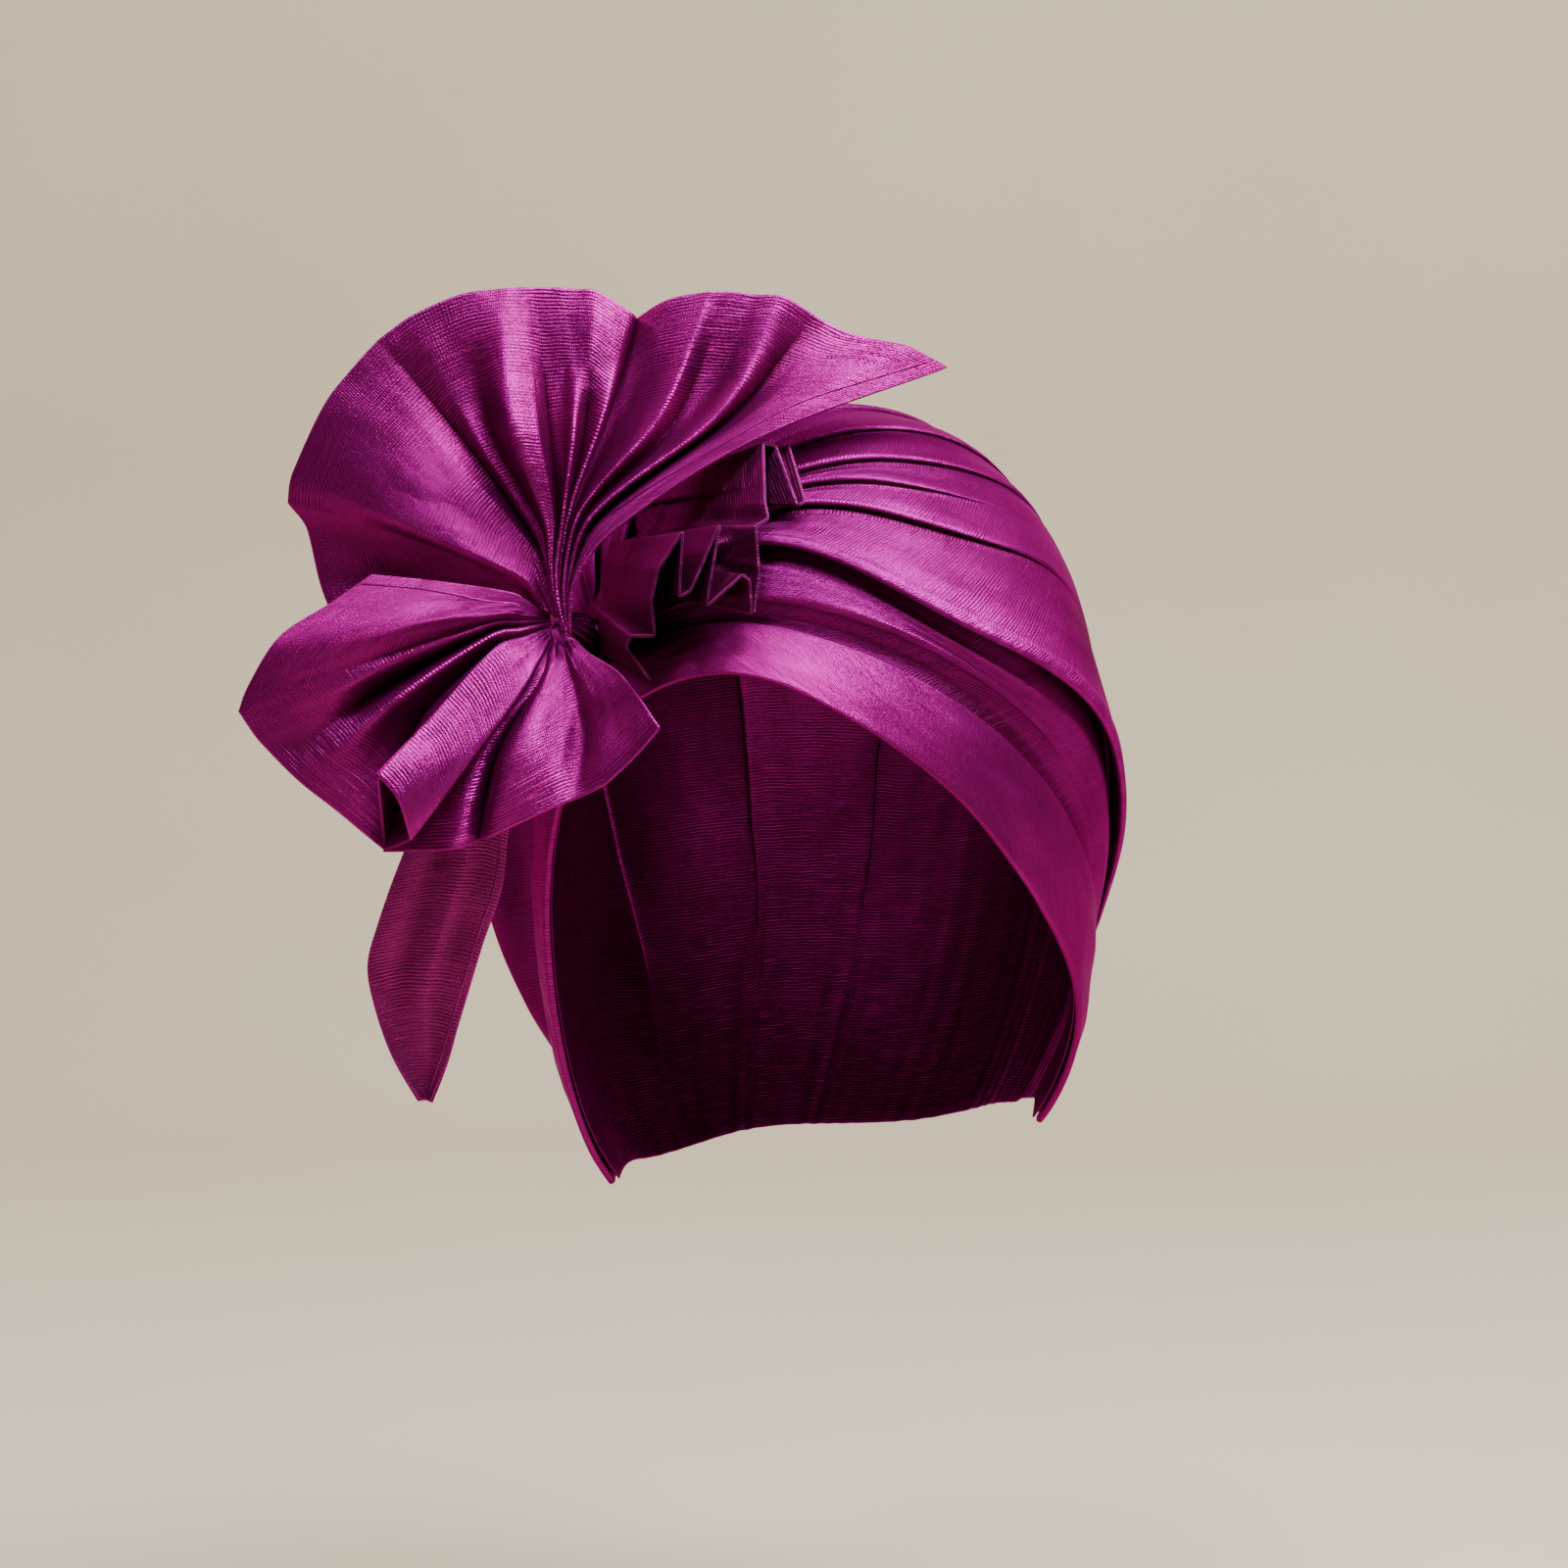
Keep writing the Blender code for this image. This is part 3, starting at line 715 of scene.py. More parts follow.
def dye_and_painted_light_group() -> bpy.types.NodeTree:
    """Slow change of the silk's dyeing over the cloth, with painted shade in the fold hollows, a painted
    highlight on the fold crests, and pale free borders that are part wear and part painted highlight.

    Returns:
        Group that gives the silk's colour and roughness.
    """
    tree = shader_group(
        "silk dye with painted fold shade and highlight",
        {"Deep": ("NodeSocketColor", (0.1, 0.0, 0.1, 1.0)), "Main": ("NodeSocketColor", (0.3, 0.0, 0.2, 1.0)),
         "Worn And Highlight": ("NodeSocketColor", (0.6, 0.1, 0.5, 1.0)), "Tone": ("NodeSocketFloat", 0.5),
         "Edge Distance": ("NodeSocketFloat", 1.0), "Fold Height": ("NodeSocketFloat", 0.0),
         "Place": ("NodeSocketVector", None)},
        {"Colour": "NodeSocketColor", "Roughness": "NodeSocketFloat"},
    )
    nodes = Nodes(tree)
    entry, leave = tree.nodes["Group Input"], tree.nodes["Group Output"]
    cloud_shade, painted_hollow_amount, border_width = 0.16, 0.35, 0.0005
    cloud = nodes.noise(entry.outputs["Place"], scale=22.0, detail=3.0, dimensions="3D")
    shade = nodes.range(cloud, 0.30, 0.70, -cloud_shade, cloud_shade)
    shade = nodes.math("ADD", shade, entry.outputs["Tone"])
    # painted shade: places below their neighbours are mixed towards the deep colour
    painted_hollow_shade = nodes.range(entry.outputs["Fold Height"], -0.8, 0.0, -painted_hollow_amount, 0.0)
    shade = nodes.math("ADD", shade, painted_hollow_shade)
    colour = nodes.colour_mix(nodes.range(shade, 0.0, 1.0), entry.outputs["Deep"], entry.outputs["Main"])
    # painted highlight: places above their neighbours are mixed towards the pale colour, broken up by fine
    # noise
    painted_crest_highlight = nodes.range(entry.outputs["Fold Height"], 0.12, 0.9)
    highlight_breakup = nodes.noise(entry.outputs["Place"], scale=160.0, dimensions="3D")
    painted_crest_highlight = nodes.math("MULTIPLY", painted_crest_highlight, nodes.range(highlight_breakup, 0.3, 0.65, 0.03, 0.22))
    # pale free borders: part wear, part painted highlight on the hems
    border = nodes.range(entry.outputs["Edge Distance"], 0.0, border_width, 0.24, 0.0)
    worn_and_highlight = nodes.math("MAXIMUM", painted_crest_highlight, border)
    colour = nodes.colour_mix(worn_and_highlight, colour, entry.outputs["Worn And Highlight"])
    rough = nodes.range(shade, 0.2, 0.9, 0.42, 0.32)
    tree.links.new(colour, leave.inputs["Colour"])
    tree.links.new(rough, leave.inputs["Roughness"])
    return tree


Colour = tuple[float, float, float]


@dataclass(frozen=True)
class ShotSilk:
    """Crisp silk of two thread colours, as one piece of the wrap shows it, with its colours darkened on some
    pieces to paint the shade they sit in, and lightened on the tail to paint light.
    """

    name: str
    # the deep colour is mixed in for the random tone of the dyeing and for painted shade in fold hollows; the
    # pale third colour paints the highlight on fold crests and the pale free borders, which are part wear and
    # part painted highlight
    deep: Colour = (0.070, 0.0030, 0.030)
    main: Colour = (0.350, 0.0050, 0.250)
    worn_and_highlight: Colour = (0.600, 0.012, 0.440)
    rib_pitch: float = 1.05
    glint: Colour = (0.70, 0.10, 0.55)
    metallic: float = 0.90
    bump: float = 0.52
    relief: float = 0.00035

    def material(self, weave: bpy.types.NodeTree, dye_and_painted_light: bpy.types.NodeTree) -> bpy.types.Material:
        """Material with this silk's values.

        Args:
            weave: Group that makes the weave.
            dye_and_painted_light: Group that makes the colour, with painted shade in fold hollows and a
                painted highlight on fold crests.

        Returns:
            The new material.
        """
        made = bpy.data.materials.new(self.name)
        made.use_nodes = True
        tree = made.node_tree
        nodes = Nodes(tree)
        shader = tree.nodes["Principled BSDF"]
        places = nodes.add("ShaderNodeUVMap", uv_map=UV_NAME)
        around = nodes.add("ShaderNodeTexCoord")
        edge = nodes.add("ShaderNodeAttribute", attribute_name=EDGE_NAME)
        fold = nodes.add("ShaderNodeAttribute", attribute_name=FOLD_NAME)
        woven = nodes.add("ShaderNodeGroup", node_tree=weave)
        tree.links.new(places.outputs[0], woven.inputs["Weave Place"])
        woven.inputs["Rib Pitch mm"].default_value = self.rib_pitch
        dye_and_painted_light_node = nodes.add("ShaderNodeGroup", node_tree=dye_and_painted_light)
        dye_and_painted_light_node.inputs["Deep"].default_value = (*self.deep, 1.0)
        dye_and_painted_light_node.inputs["Main"].default_value = (*self.main, 1.0)
        dye_and_painted_light_node.inputs["Worn And Highlight"].default_value = (*self.worn_and_highlight, 1.0)
        tree.links.new(woven.outputs["Tone"], dye_and_painted_light_node.inputs["Tone"])
        tree.links.new(edge.outputs["Fac"], dye_and_painted_light_node.inputs["Edge Distance"])
        tree.links.new(fold.outputs["Fac"], dye_and_painted_light_node.inputs["Fold Height"])
        tree.links.new(around.outputs["Object"], dye_and_painted_light_node.inputs["Place"])
        bump = nodes.add("ShaderNodeBump", {"Strength": self.bump, "Distance": self.relief,
                                            "Height": woven.outputs["Height"]})
        tree.links.new(dye_and_painted_light_node.outputs["Colour"], shader.inputs["Base Color"])
        tree.links.new(dye_and_painted_light_node.outputs["Roughness"], shader.inputs["Roughness"])
        tree.links.new(bump.outputs["Normal"], shader.inputs["Normal"])
        shader.inputs["Metallic"].default_value = self.metallic
        shader.inputs["Specular Tint"].default_value = (*self.glint, 1.0)
        shader.inputs["Specular IOR Level"].default_value = 0.0
        return made


SILKS = {
    "crown_silk": ShotSilk("crown_silk"),
    "band_silk": ShotSilk("band_silk", main=(0.375, 0.005, 0.240)),
    # the side fold's silk is a darker copy that paints the shade it hangs in
    "fold_silk": ShotSilk("fold_silk", deep=(0.036, 0.002, 0.018), main=(0.225, 0.004, 0.145),
                          worn_and_highlight=(0.340, 0.010, 0.230)),
    "bow_silk": ShotSilk("bow_silk", main=(0.360, 0.005, 0.232)),
    # the ruffles' silk is a darker copy that paints the shade among their folds
    "ruffle_silk": ShotSilk("ruffle_silk", deep=(0.036, 0.003, 0.018), main=(0.175, 0.006, 0.098),
                            worn_and_highlight=(0.360, 0.035, 0.260)),
    # the tail's silk is a lighter copy that paints light into the shadow the bow casts on it; its lower
    # metallic makes more of it diffuse colour
    "tail_silk": ShotSilk("tail_silk", deep=(0.100, 0.008, 0.050), main=(0.420, 0.020, 0.250), metallic=0.70),
    # the knot's silk is a much darker copy that paints the shade between the fans
    "knot_silk": ShotSilk("knot_silk", deep=(0.014, 0.001, 0.007), main=(0.060, 0.001, 0.032)),
}


class Workshop:
    """What every piece needs: its finishes, the cloth under it, and how it is declared."""

    # least area of a sheet, as a share of its flat size
    least_share = 0.31

    def __init__(self) -> None:
        """Make the finishes."""
        weave, dye_and_painted_light = weave_group(), dye_and_painted_light_group()
        self.finishes = {name: silk.material(weave, dye_and_painted_light) for name, silk in SILKS.items()}
        self.cover = Cover()

    def cloth(self, name: str, node: str, silk: str, grid: ClothGrid, held: str, rests_on: Sequence[str],
              extras: Sequence[bpy.types.Object] = ()) -> None:
        """Args:
            name: Name of the new piece.
            node: CAD node that it stands for.
            silk: Its finish.
            grid: Its places.
            held: How the cloth is held; not used.
            rests_on: What it lies on or hangs from; not used.
            extras: Pieces that go with it.
        """
        piece = grid.mesh(name, self.finishes[silk])
        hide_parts(node)
        self.declare(piece)
        for extra in extras:
            self.declare(extra)

    def declare(self, piece: bpy.types.Object) -> None:
        """Let a piece ride on the body."""
        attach(piece, BODY)


@dataclass
class SelvageTree:
    """Geometry Nodes that lay a thin rolled border along a path."""

    sides: int = 6
    radius: float = 0.00032
    step: float = 0.0009
    # fixed values for the colour: a faint painted highlight on the roll, and the pale border of a free edge,
    # part wear and part painted highlight
    edge_distance: float = 0.0004
    fold_height: float = 0.4

    def tree(self, material: bpy.types.Material) -> bpy.types.NodeTree:
        """New tree whose inputs are the roll's radius and the length of its steps.

        Args:
            material: Finish of the roll.

        Returns:
            The tree.
        """
        tree = bpy.data.node_groups.new("rolled selvage", "GeometryNodeTree")
        face = tree.interface
        face.new_socket("Geometry", in_out="INPUT", socket_type="NodeSocketGeometry")
        radius = face.new_socket("Radius", in_out="INPUT", socket_type="NodeSocketFloat")
        step = face.new_socket("Step", in_out="INPUT", socket_type="NodeSocketFloat")
        radius.default_value, step.default_value = self.radius, self.step
        face.new_socket("Geometry", in_out="OUTPUT", socket_type="NodeSocketGeometry")
        nodes, links = tree.nodes, tree.links
        entry, leave = nodes.new("NodeGroupInput"), nodes.new("NodeGroupOutput")
        curve = nodes.new("GeometryNodeMeshToCurve")
        again = nodes.new("GeometryNodeResampleCurve")
        again.mode = "LENGTH"
        ring = nodes.new("GeometryNodeCurvePrimitiveCircle")
        ring.inputs["Resolution"].default_value = self.sides
        roll = nodes.new("GeometryNodeCurveToMesh")
        roll.inputs["Fill Caps"].default_value = True
        real = nodes.new("GeometryNodeRealizeInstances")
        finish = nodes.new("GeometryNodeSetMaterial")
        finish.inputs["Material"].default_value = material
        links.new(entry.outputs["Geometry"], curve.inputs["Mesh"])
        links.new(curve.outputs["Curve"], again.inputs["Curve"])
        links.new(entry.outputs["Step"], again.inputs["Length"])
        links.new(again.outputs["Curve"], roll.inputs["Curve"])
        links.new(entry.outputs["Radius"], ring.inputs["Radius"])
        links.new(ring.outputs["Curve"], roll.inputs["Profile Curve"])
        links.new(roll.outputs["Mesh"], real.inputs["Geometry"])
        links.new(real.outputs["Geometry"], finish.inputs["Geometry"])
        links.new(finish.outputs["Geometry"], leave.inputs["Geometry"])
        return tree

    def roll(self, name: str, path: np.ndarray, material: bpy.types.Material) -> bpy.types.Object:
        """Plain mesh of a rolled border along a path.

        Args:
            name: Name of the new piece.
            path: Places from the head centre.
            material: Its finish.

        Returns:
            The new piece.
        """
        line = bpy.data.meshes.new(name + "_path")
        line.from_pydata((path - SEAT).tolist(), [(i, i + 1) for i in range(len(path) - 1)], [])
        guide = bpy.data.objects.new(name + "_path", line)
        bpy.context.scene.collection.objects.link(guide)
        tree = self.tree(material)
        sized = guide.modifiers.new("selvage", "NODES")
        sized.node_group = tree
        for item in tree.interface.items_tree:
            if item.item_type == "SOCKET" and item.in_out == "INPUT" and item.name in ("Radius", "Step"):
                sized[item.identifier] = self.radius if item.name == "Radius" else self.step
        graph = bpy.context.evaluated_depsgraph_get()
        mesh = bpy.data.meshes.new_from_object(guide.evaluated_get(graph))
        mesh.name = name
        guide.modifiers.clear()
        bpy.data.objects.remove(guide)
        spots = np.array([tuple(vertex.co) for vertex in mesh.vertices])
        shades = {EDGE_NAME: np.full(len(spots), self.edge_distance),
                  FOLD_NAME: np.full(len(spots), self.fold_height)}
        return dressed(mesh, spots[:, :2] * 0.5, shades, None)


@dataclass(frozen=True)
class Tuck:
    """One pleat of the crown: where its rolled lower lip lies, and how deep it is."""

    places: tuple[float, float, float, float, float]
    depth: float
    under: float
    starts: float
    fades: float
    curl: float = 1.0


LIP = (
    # share of the tuck's width past its lip, then share of its depth
    (-0.75, 0.0), (-0.20, 0.0), (0.45, 0.02), (0.88, 0.04), (1.00, 0.16), (0.92, 0.30), (0.50, 0.42),
    (0.10, 0.50), (-0.08, 0.60), (-0.15, 0.76), (-0.10, 0.91), (0.05, 0.985), (0.35, 1.0),
)


@dataclass
class PleatedCrown:
    """Crown cloth whose pleats sweep from the knot over the head down to the nape."""

    cloth: float = 0.0007
    rows: int = 150
    panel_columns: int = 11
    bend_radius: float = 0.09
    pleats: int = 46
    knot_pleats_mm: float = 0.35
    nape_pleats_mm: float = 0.24
    soft_mm: float = 0.75
    fine_mm: float = 0.16
    ease_mm: float = 0.4
    tucks: tuple[Tuck, ...] = (
        Tuck((0.15, 0.155, 0.155, 0.15, 0.15), 2.6, 3.4, 0.02, 0.62, 0.45),
        Tuck((0.25, 0.258, 0.262, 0.26, 0.25), 5.6, 7.2, 0.02, 1.02),
        Tuck((0.33, 0.345, 0.355, 0.36, 0.36), 2.1, 2.4, 0.02, 0.60, 0.60),
        Tuck((0.38, 0.388, 0.395, 0.40, 0.40), 1.9, 2.0, 0.02, 0.52, 0.50),
        Tuck((0.42, 0.425, 0.435, 0.44, 0.44), 1.9, 2.4, 0.02, 0.60, 0.50),
        Tuck((0.48, 0.485, 0.49, 0.49, 0.49), 1.6, 2.6, 0.02, 0.66, 0.40),
        Tuck((0.56, 0.56, 0.565, 0.565, 0.565), 1.6, 3.0, 0.02, 0.80, 0.30),
        Tuck((0.65, 0.65, 0.65, 0.65, 0.65), 2.8, 4.0, 0.02, 0.95),
        Tuck((0.745, 0.745, 0.75, 0.75, 0.75), 2.8, 4.0, 0.02, 0.95),
        Tuck((0.83, 0.83, 0.835, 0.84, 0.845), 2.4, 3.0, 0.02, 0.90),
    )

    def folds(self, along: float) -> tuple[np.ndarray, np.ndarray]:
        """Where the points of one step lie across the sheet, and how far the tucks lift them.

        Args:
            along: Share along the ribs, from the knot to the nape.

        Returns:
            Share across the sheet and height for each point.
        """
        stops = (0.0, 0.25, 0.5, 0.75, 1.0)
        lips = [float(through(stops, np.array(tuck.places), np.array([along]))[0, 0]) for tuck in self.tucks]
        ends = lips[1:] + [BAND_LEFT]
        probe = np.linspace(0, 1, 81)
        smooth_row, _ = crown_base(probe, along)
        lengths = np.linalg.norm(np.diff(smooth_row, axis=0), axis=1)
        scale = np.interp(probe, (probe[1:] + probe[:-1]) / 2, lengths / np.diff(probe))
        across = [np.linspace(0.010, BAND_RIGHT, 6)[:-1]]
        lift = [np.zeros(5)]
        start = BAND_RIGHT
        first_under = self.width_under(self.tucks[0], lips[0], lips[0] - BAND_RIGHT, along, scale, probe)
        across.append(np.linspace(start, lips[0] - 0.75 * first_under, 8)[:-1])
        lift.append(np.zeros(7))
        for n, tuck in enumerate(self.tucks):
            place, end = lips[n], ends[n]
            fade = float(smooth(tuck.starts, tuck.starts + 0.14, along)
                         * (1 - smooth(tuck.fades - 0.30, tuck.fades, along)))
            under = self.width_under(tuck, place, end - place, along, scale, probe)
            depth = tuck.depth * MM * fade
            even = np.linspace(-0.75, 1.0, len(LIP))
            shape = np.array(LIP)
            folded = even + (shape[:, 0] - even) * min(fade * 1.6, 1.0) * tuck.curl
            across.append(place + folded * under)
            lift.append(depth * shape[:, 1])
            next_under = 0.0
            if n + 1 < len(self.tucks):
                follows = self.tucks[n + 1]
                next_end = ends[n + 1]
                next_under = self.width_under(follows, end, next_end - end, along, scale, probe)
            begin, finish = across[-1][-1], end - 0.75 * next_under
            spread = np.linspace(begin, finish, self.panel_columns + 2)[1:-1]
            run = (spread - place) / (end - place)
            drop = (1 - run) ** 1.5 * (1 + 0.25 * np.sin(np.pi * run))
            across.append(spread)
            lift.append(depth * drop)
        across.append(np.linspace(BAND_LEFT, 0.990, 6))
        lift.append(np.zeros(6))
        return np.concatenate(across), np.concatenate(lift)

    def row(self, along: float) -> np.ndarray:
        """Outer points across one step of the crown.

        Args:
            along: Share along the ribs, from the knot to the nape.

        Returns:
            Points from the face edge over the top to the temple.
        """
        across, lift = self.folds(along)
        base, out = crown_base(np.clip(across, 0, 1), along)
        open_part = smooth(BAND_RIGHT, 0.13, across) * (1 - smooth(0.88, BAND_LEFT, across))
        near_knot = (1 - smooth(0.05, 0.34, along)) * smooth(0.0, 0.04, along)
        near_nape = smooth(0.80, 0.97, along)
        pleats = np.sin(across * 2 * math.pi * self.pleats + 1.5 * np.sin(across * 31))
        soft = ripple(across * 9, np.full_like(across, along * 2.2), 11)
        fine = ripple(across * 34, np.full_like(across, along * 4.0), 23)
        pleats = pleats * (0.6 + 0.4 * np.sin(across * 57 + along * 9))
        extra = pleats * (self.knot_pleats_mm * near_knot + self.nape_pleats_mm * near_nape)
        extra = extra + self.soft_mm * soft + self.fine_mm * fine
        lift = lift + extra * MM * open_part + self.ease_mm * MM * open_part
        return base + out * lift[:, None]

    @staticmethod
    def width_under(tuck: Tuck, place: float, gap: float, along: float, scale: np.ndarray,
                    probe: np.ndarray) -> float:
        """Width of a tuck's folded part, as a share across the sheet."""
        metres = float(np.interp(place, probe, scale))
        return min(tuck.under * MM / max(metres, 1e-4), 0.34 * gap)

    def build(self, shop: Workshop) -> None:
        """Make the crown.

        Args:
            shop: Finishes and the cloth under this piece.
        """
        points = np.array([self.row(i / (self.rows - 1)) for i in range(self.rows)])
        points[0, -6:] = points[0, :6][::-1]
        shop.cover.add(points)
        grid = ClothGrid(facing_out(points, self.rows // 2), self.cloth, Edge.FOLDED, offset=-1.0,
                         free_last=False, free_sides=False, bend_radius=self.bend_radius)
        shop.cloth("crown_cloth", "crown_wrap", "crown_silk", grid, "stretched", ["brow_band_cloth"])


@dataclass
class BrowBand:
    """Folded band round the face, from the nape on one side over the brow to the other."""

    cloth: float = 0.0020
    columns: int = 26
    rows: int = 230
    rounding_mm: float = 0.35
    soft_mm: float = 0.42
    fine_mm: float = 0.16
    hollow_mm: float = 0.5

    def row(self, along: float, right: bool) -> np.ndarray:
        """Outer points across the band at one step.

        Args:
            along: Share from the brow to the nape.
            right: True for the side away from the bow.

        Returns:
            Points from the face edge back over the crown's border.
        """
        width = BAND_RIGHT if right else 1 - BAND_LEFT
        share = np.linspace(0.0, 0.96, self.columns)
        places = share * width if right else 1 - share * width
        base, out = crown_base(places, along)
        lift = self.cloth + PIECE_GAP * 1.6
        crown = self.rounding_mm * np.sin(np.pi * share) * MM
        side = 0.0 if right else 5.0
        folds = ripple(share * 1.4 + side, np.full_like(share, along * 7.0), 41)
        fine = ripple(share * 2.5 + side + along * 3.0, np.full_like(share, along * 22.0), 57)
        body = np.sin(np.pi * share) ** 0.5
        wave = (self.soft_mm * folds + self.fine_mm * fine) * body * smooth(0.04, 0.2, along) * MM
        return base + out * (lift + crown + np.maximum(wave, -self.hollow_mm * MM))[:, None]

    def build(self, shop: Workshop) -> None:
        """Make the band.

        Args:
            shop: Finishes and the cloth under this piece.
        """
        half = self.rows // 2
        steps = [i / half for i in range(half + 1)]
        rows = [self.row(along, True) for along in reversed(steps)]
        rows += [self.row(along, False) for along in steps[1:]]
        points = np.array(rows)
        shop.cover.add(points)
        grid = ClothGrid(facing_out(points, half // 2), self.cloth, Edge.FOLDED, offset=-1.0,
                         free_last=False, free_sides=False)
        shop.cloth("brow_band_cloth", "brow_band", "band_silk", grid, "stretched", ["crown_cloth"])


@dataclass
class SideFold:
    """Loose fold of the crown's cloth that hangs over the temple."""

    cloth: float = 0.0010
    belly: float = 0.021
    stand: float = 0.001
    soft_mm: float = 2.6
    fine_mm: float = 0.9
    bend_radius: float = 0.03
    columns: int = 44
    rows: int = 110
    shape: tuple[tuple[float, float, float, float], ...] = (
        # along the crown, front across, back across, fullness
        (0.176, 0.905, 0.884, 0.15),
        (0.235, 0.903, 0.872, 0.45),
        (0.294, 0.900, 0.862, 0.75),
        (0.353, 0.900, 0.856, 0.95),
        (0.441, 0.900, 0.852, 1.00),
        (0.529, 0.900, 0.852, 1.05),
        (0.588, 0.900, 0.853, 1.10),
        (0.647, 0.900, 0.856, 1.08),
        (0.706, 0.901, 0.860, 0.95),
        (0.765, 0.902, 0.866, 0.72),
        (0.824, 0.904, 0.874, 0.42),
        (0.882, 0.906, 0.884, 0.12),
    )

    def build(self, shop: Workshop) -> None:
        """Make the fold.

        Args:
            shop: Finishes and the cloth under this piece.
        """
        stops = [row[0] for row in self.shape]
        share = np.linspace(0, 1, self.columns)
        rows = []
        alongs = np.linspace(stops[0], stops[-1], self.rows)
        table = through(stops, np.array([row[1:] for row in self.shape]), alongs)
        for along, (front, back, full) in zip(alongs, table):
            base, out = crown_base(front + (back - front) * share, float(along))
            belly = self.belly * full * np.maximum(np.sin(np.pi * share), 0) ** 0.8
            pull = along * 9.0
            waves = self.soft_mm * np.sin(2 * np.pi * share * 1.8 + pull)
            waves = waves + self.fine_mm * np.sin(2 * np.pi * share * 4.3 - pull * 1.7)
            waves = waves * MM * full * np.sin(np.pi * share)
            rows.append(base + out * (self.cloth / 2 + PIECE_GAP * 1.5 + self.stand + belly + waves)[:, None])
        points = shop.cover.rest(np.array(rows), self.cloth / 2 + PIECE_GAP, 0.0008)
        grid = ClothGrid(facing_out(points, self.rows // 2), self.cloth, Edge.FOLDED,
                         bend_radius=self.bend_radius)
        shop.cloth("side_fold_cloth", "side_fold", "fold_silk", grid, "draped", ["crown_cloth"])


@dataclass
class Knot:
    """Small pinched knot that the bow, ruffles and tail grow from."""

    rings: int = 40
    sides: int = 168
    pleats: int = 21
    pinch: float = 0.13

    def build(self, shop: Workshop) -> None:
        """Make the knot.

        Args:
            shop: Finishes and the cloth under this piece.
        """
        side = unit(np.cross(KNOT_AIM, (0.0, 0.0, 1.0)))
        up = np.cross(side, KNOT_AIM)
        polar = np.linspace(0.02, math.pi - 0.02, self.rings)
        turn = np.linspace(0, 2 * math.pi, self.sides, endpoint=False)
        wave = np.abs(np.sin(turn * self.pleats / 2 + 0.25 * np.sin(turn * 3)))
        grid = []
        for angle in polar:
            pinch = 1 - self.pinch * wave * math.sin(angle) ** 0.7
            out = KNOT_RADIUS * math.sin(angle) * pinch
            place = KNOT + KNOT_AIM * (KNOT_RADIUS * math.cos(angle))
            grid.append(place + np.outer(np.cos(turn) * out, side) + np.outer(np.sin(turn) * out, up))
        points = np.array(grid)
        count = self.sides
        poles = [points[0].mean(axis=0), points[-1].mean(axis=0)]
        verts = np.concatenate([points.reshape(-1, 3), poles]) - SEAT
        faces = []
        for i in range(self.rings - 1):
            for j in range(count):
                k = (j + 1) % count
                faces.append((i * count + j, (i + 1) * count + j, (i + 1) * count + k, i * count + k))
        last = (self.rings - 1) * count
        for j in range(count):
            k = (j + 1) % count
            faces.append((self.rings * count, j, k))
            faces.append((self.rings * count + 1, last + k, last + j))
        mesh = bpy.data.meshes.new("knot_cloth")
        mesh.from_pydata(verts.tolist(), [], faces)
        middle = points.reshape(-1, 3).mean(axis=0) - SEAT
        first = mesh.polygons[count * 5]
        if (np.array(first.center) - middle) @ np.array(first.normal) < 0:
            mesh.flip_normals()
        places = np.zeros((len(verts), 2))
        places[: len(verts) - 2, 0] = np.tile(turn * KNOT_RADIUS, self.rings)
        places[: len(verts) - 2, 1] = np.repeat(polar * KNOT_RADIUS, count)
        # fold heights for the colour: the pinched grooves get painted shade and the plain parts a painted
        # highlight
        folds = np.zeros(len(verts))
        folds[: len(verts) - 2] = np.tile(0.45 - wave, self.rings)
        shades = {EDGE_NAME: np.ones(len(verts)), FOLD_NAME: folds}
        piece = dressed(mesh, places, shades, shop.finishes["knot_silk"])
        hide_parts("knot")
        shop.declare(piece)
        log.info("knot_cloth: %d faces", len(mesh.polygons))


def clear_of_knot(points: np.ndarray, gap: float) -> np.ndarray:
    """Points moved out of the knot.

    Args:
        points: Places.
        gap: Least distance from the knot's outside.

    Returns:
        The moved places.
    """
    away = points - KNOT
    far = np.linalg.norm(away, axis=-1, keepdims=True)
    least = KNOT_RADIUS + gap
    return np.where(far < least, KNOT + away / np.maximum(far, 1e-6) * least, points)


Place = tuple[float, float]


@dataclass(frozen=True)
class Rib:
    """A ridge or valley of a fan, in millimetres right of, above and towards the viewer from the gather."""

    near: Place
    mid: Place
    rim: Place
    lifts: tuple[float, float, float, float]
    crisp: float


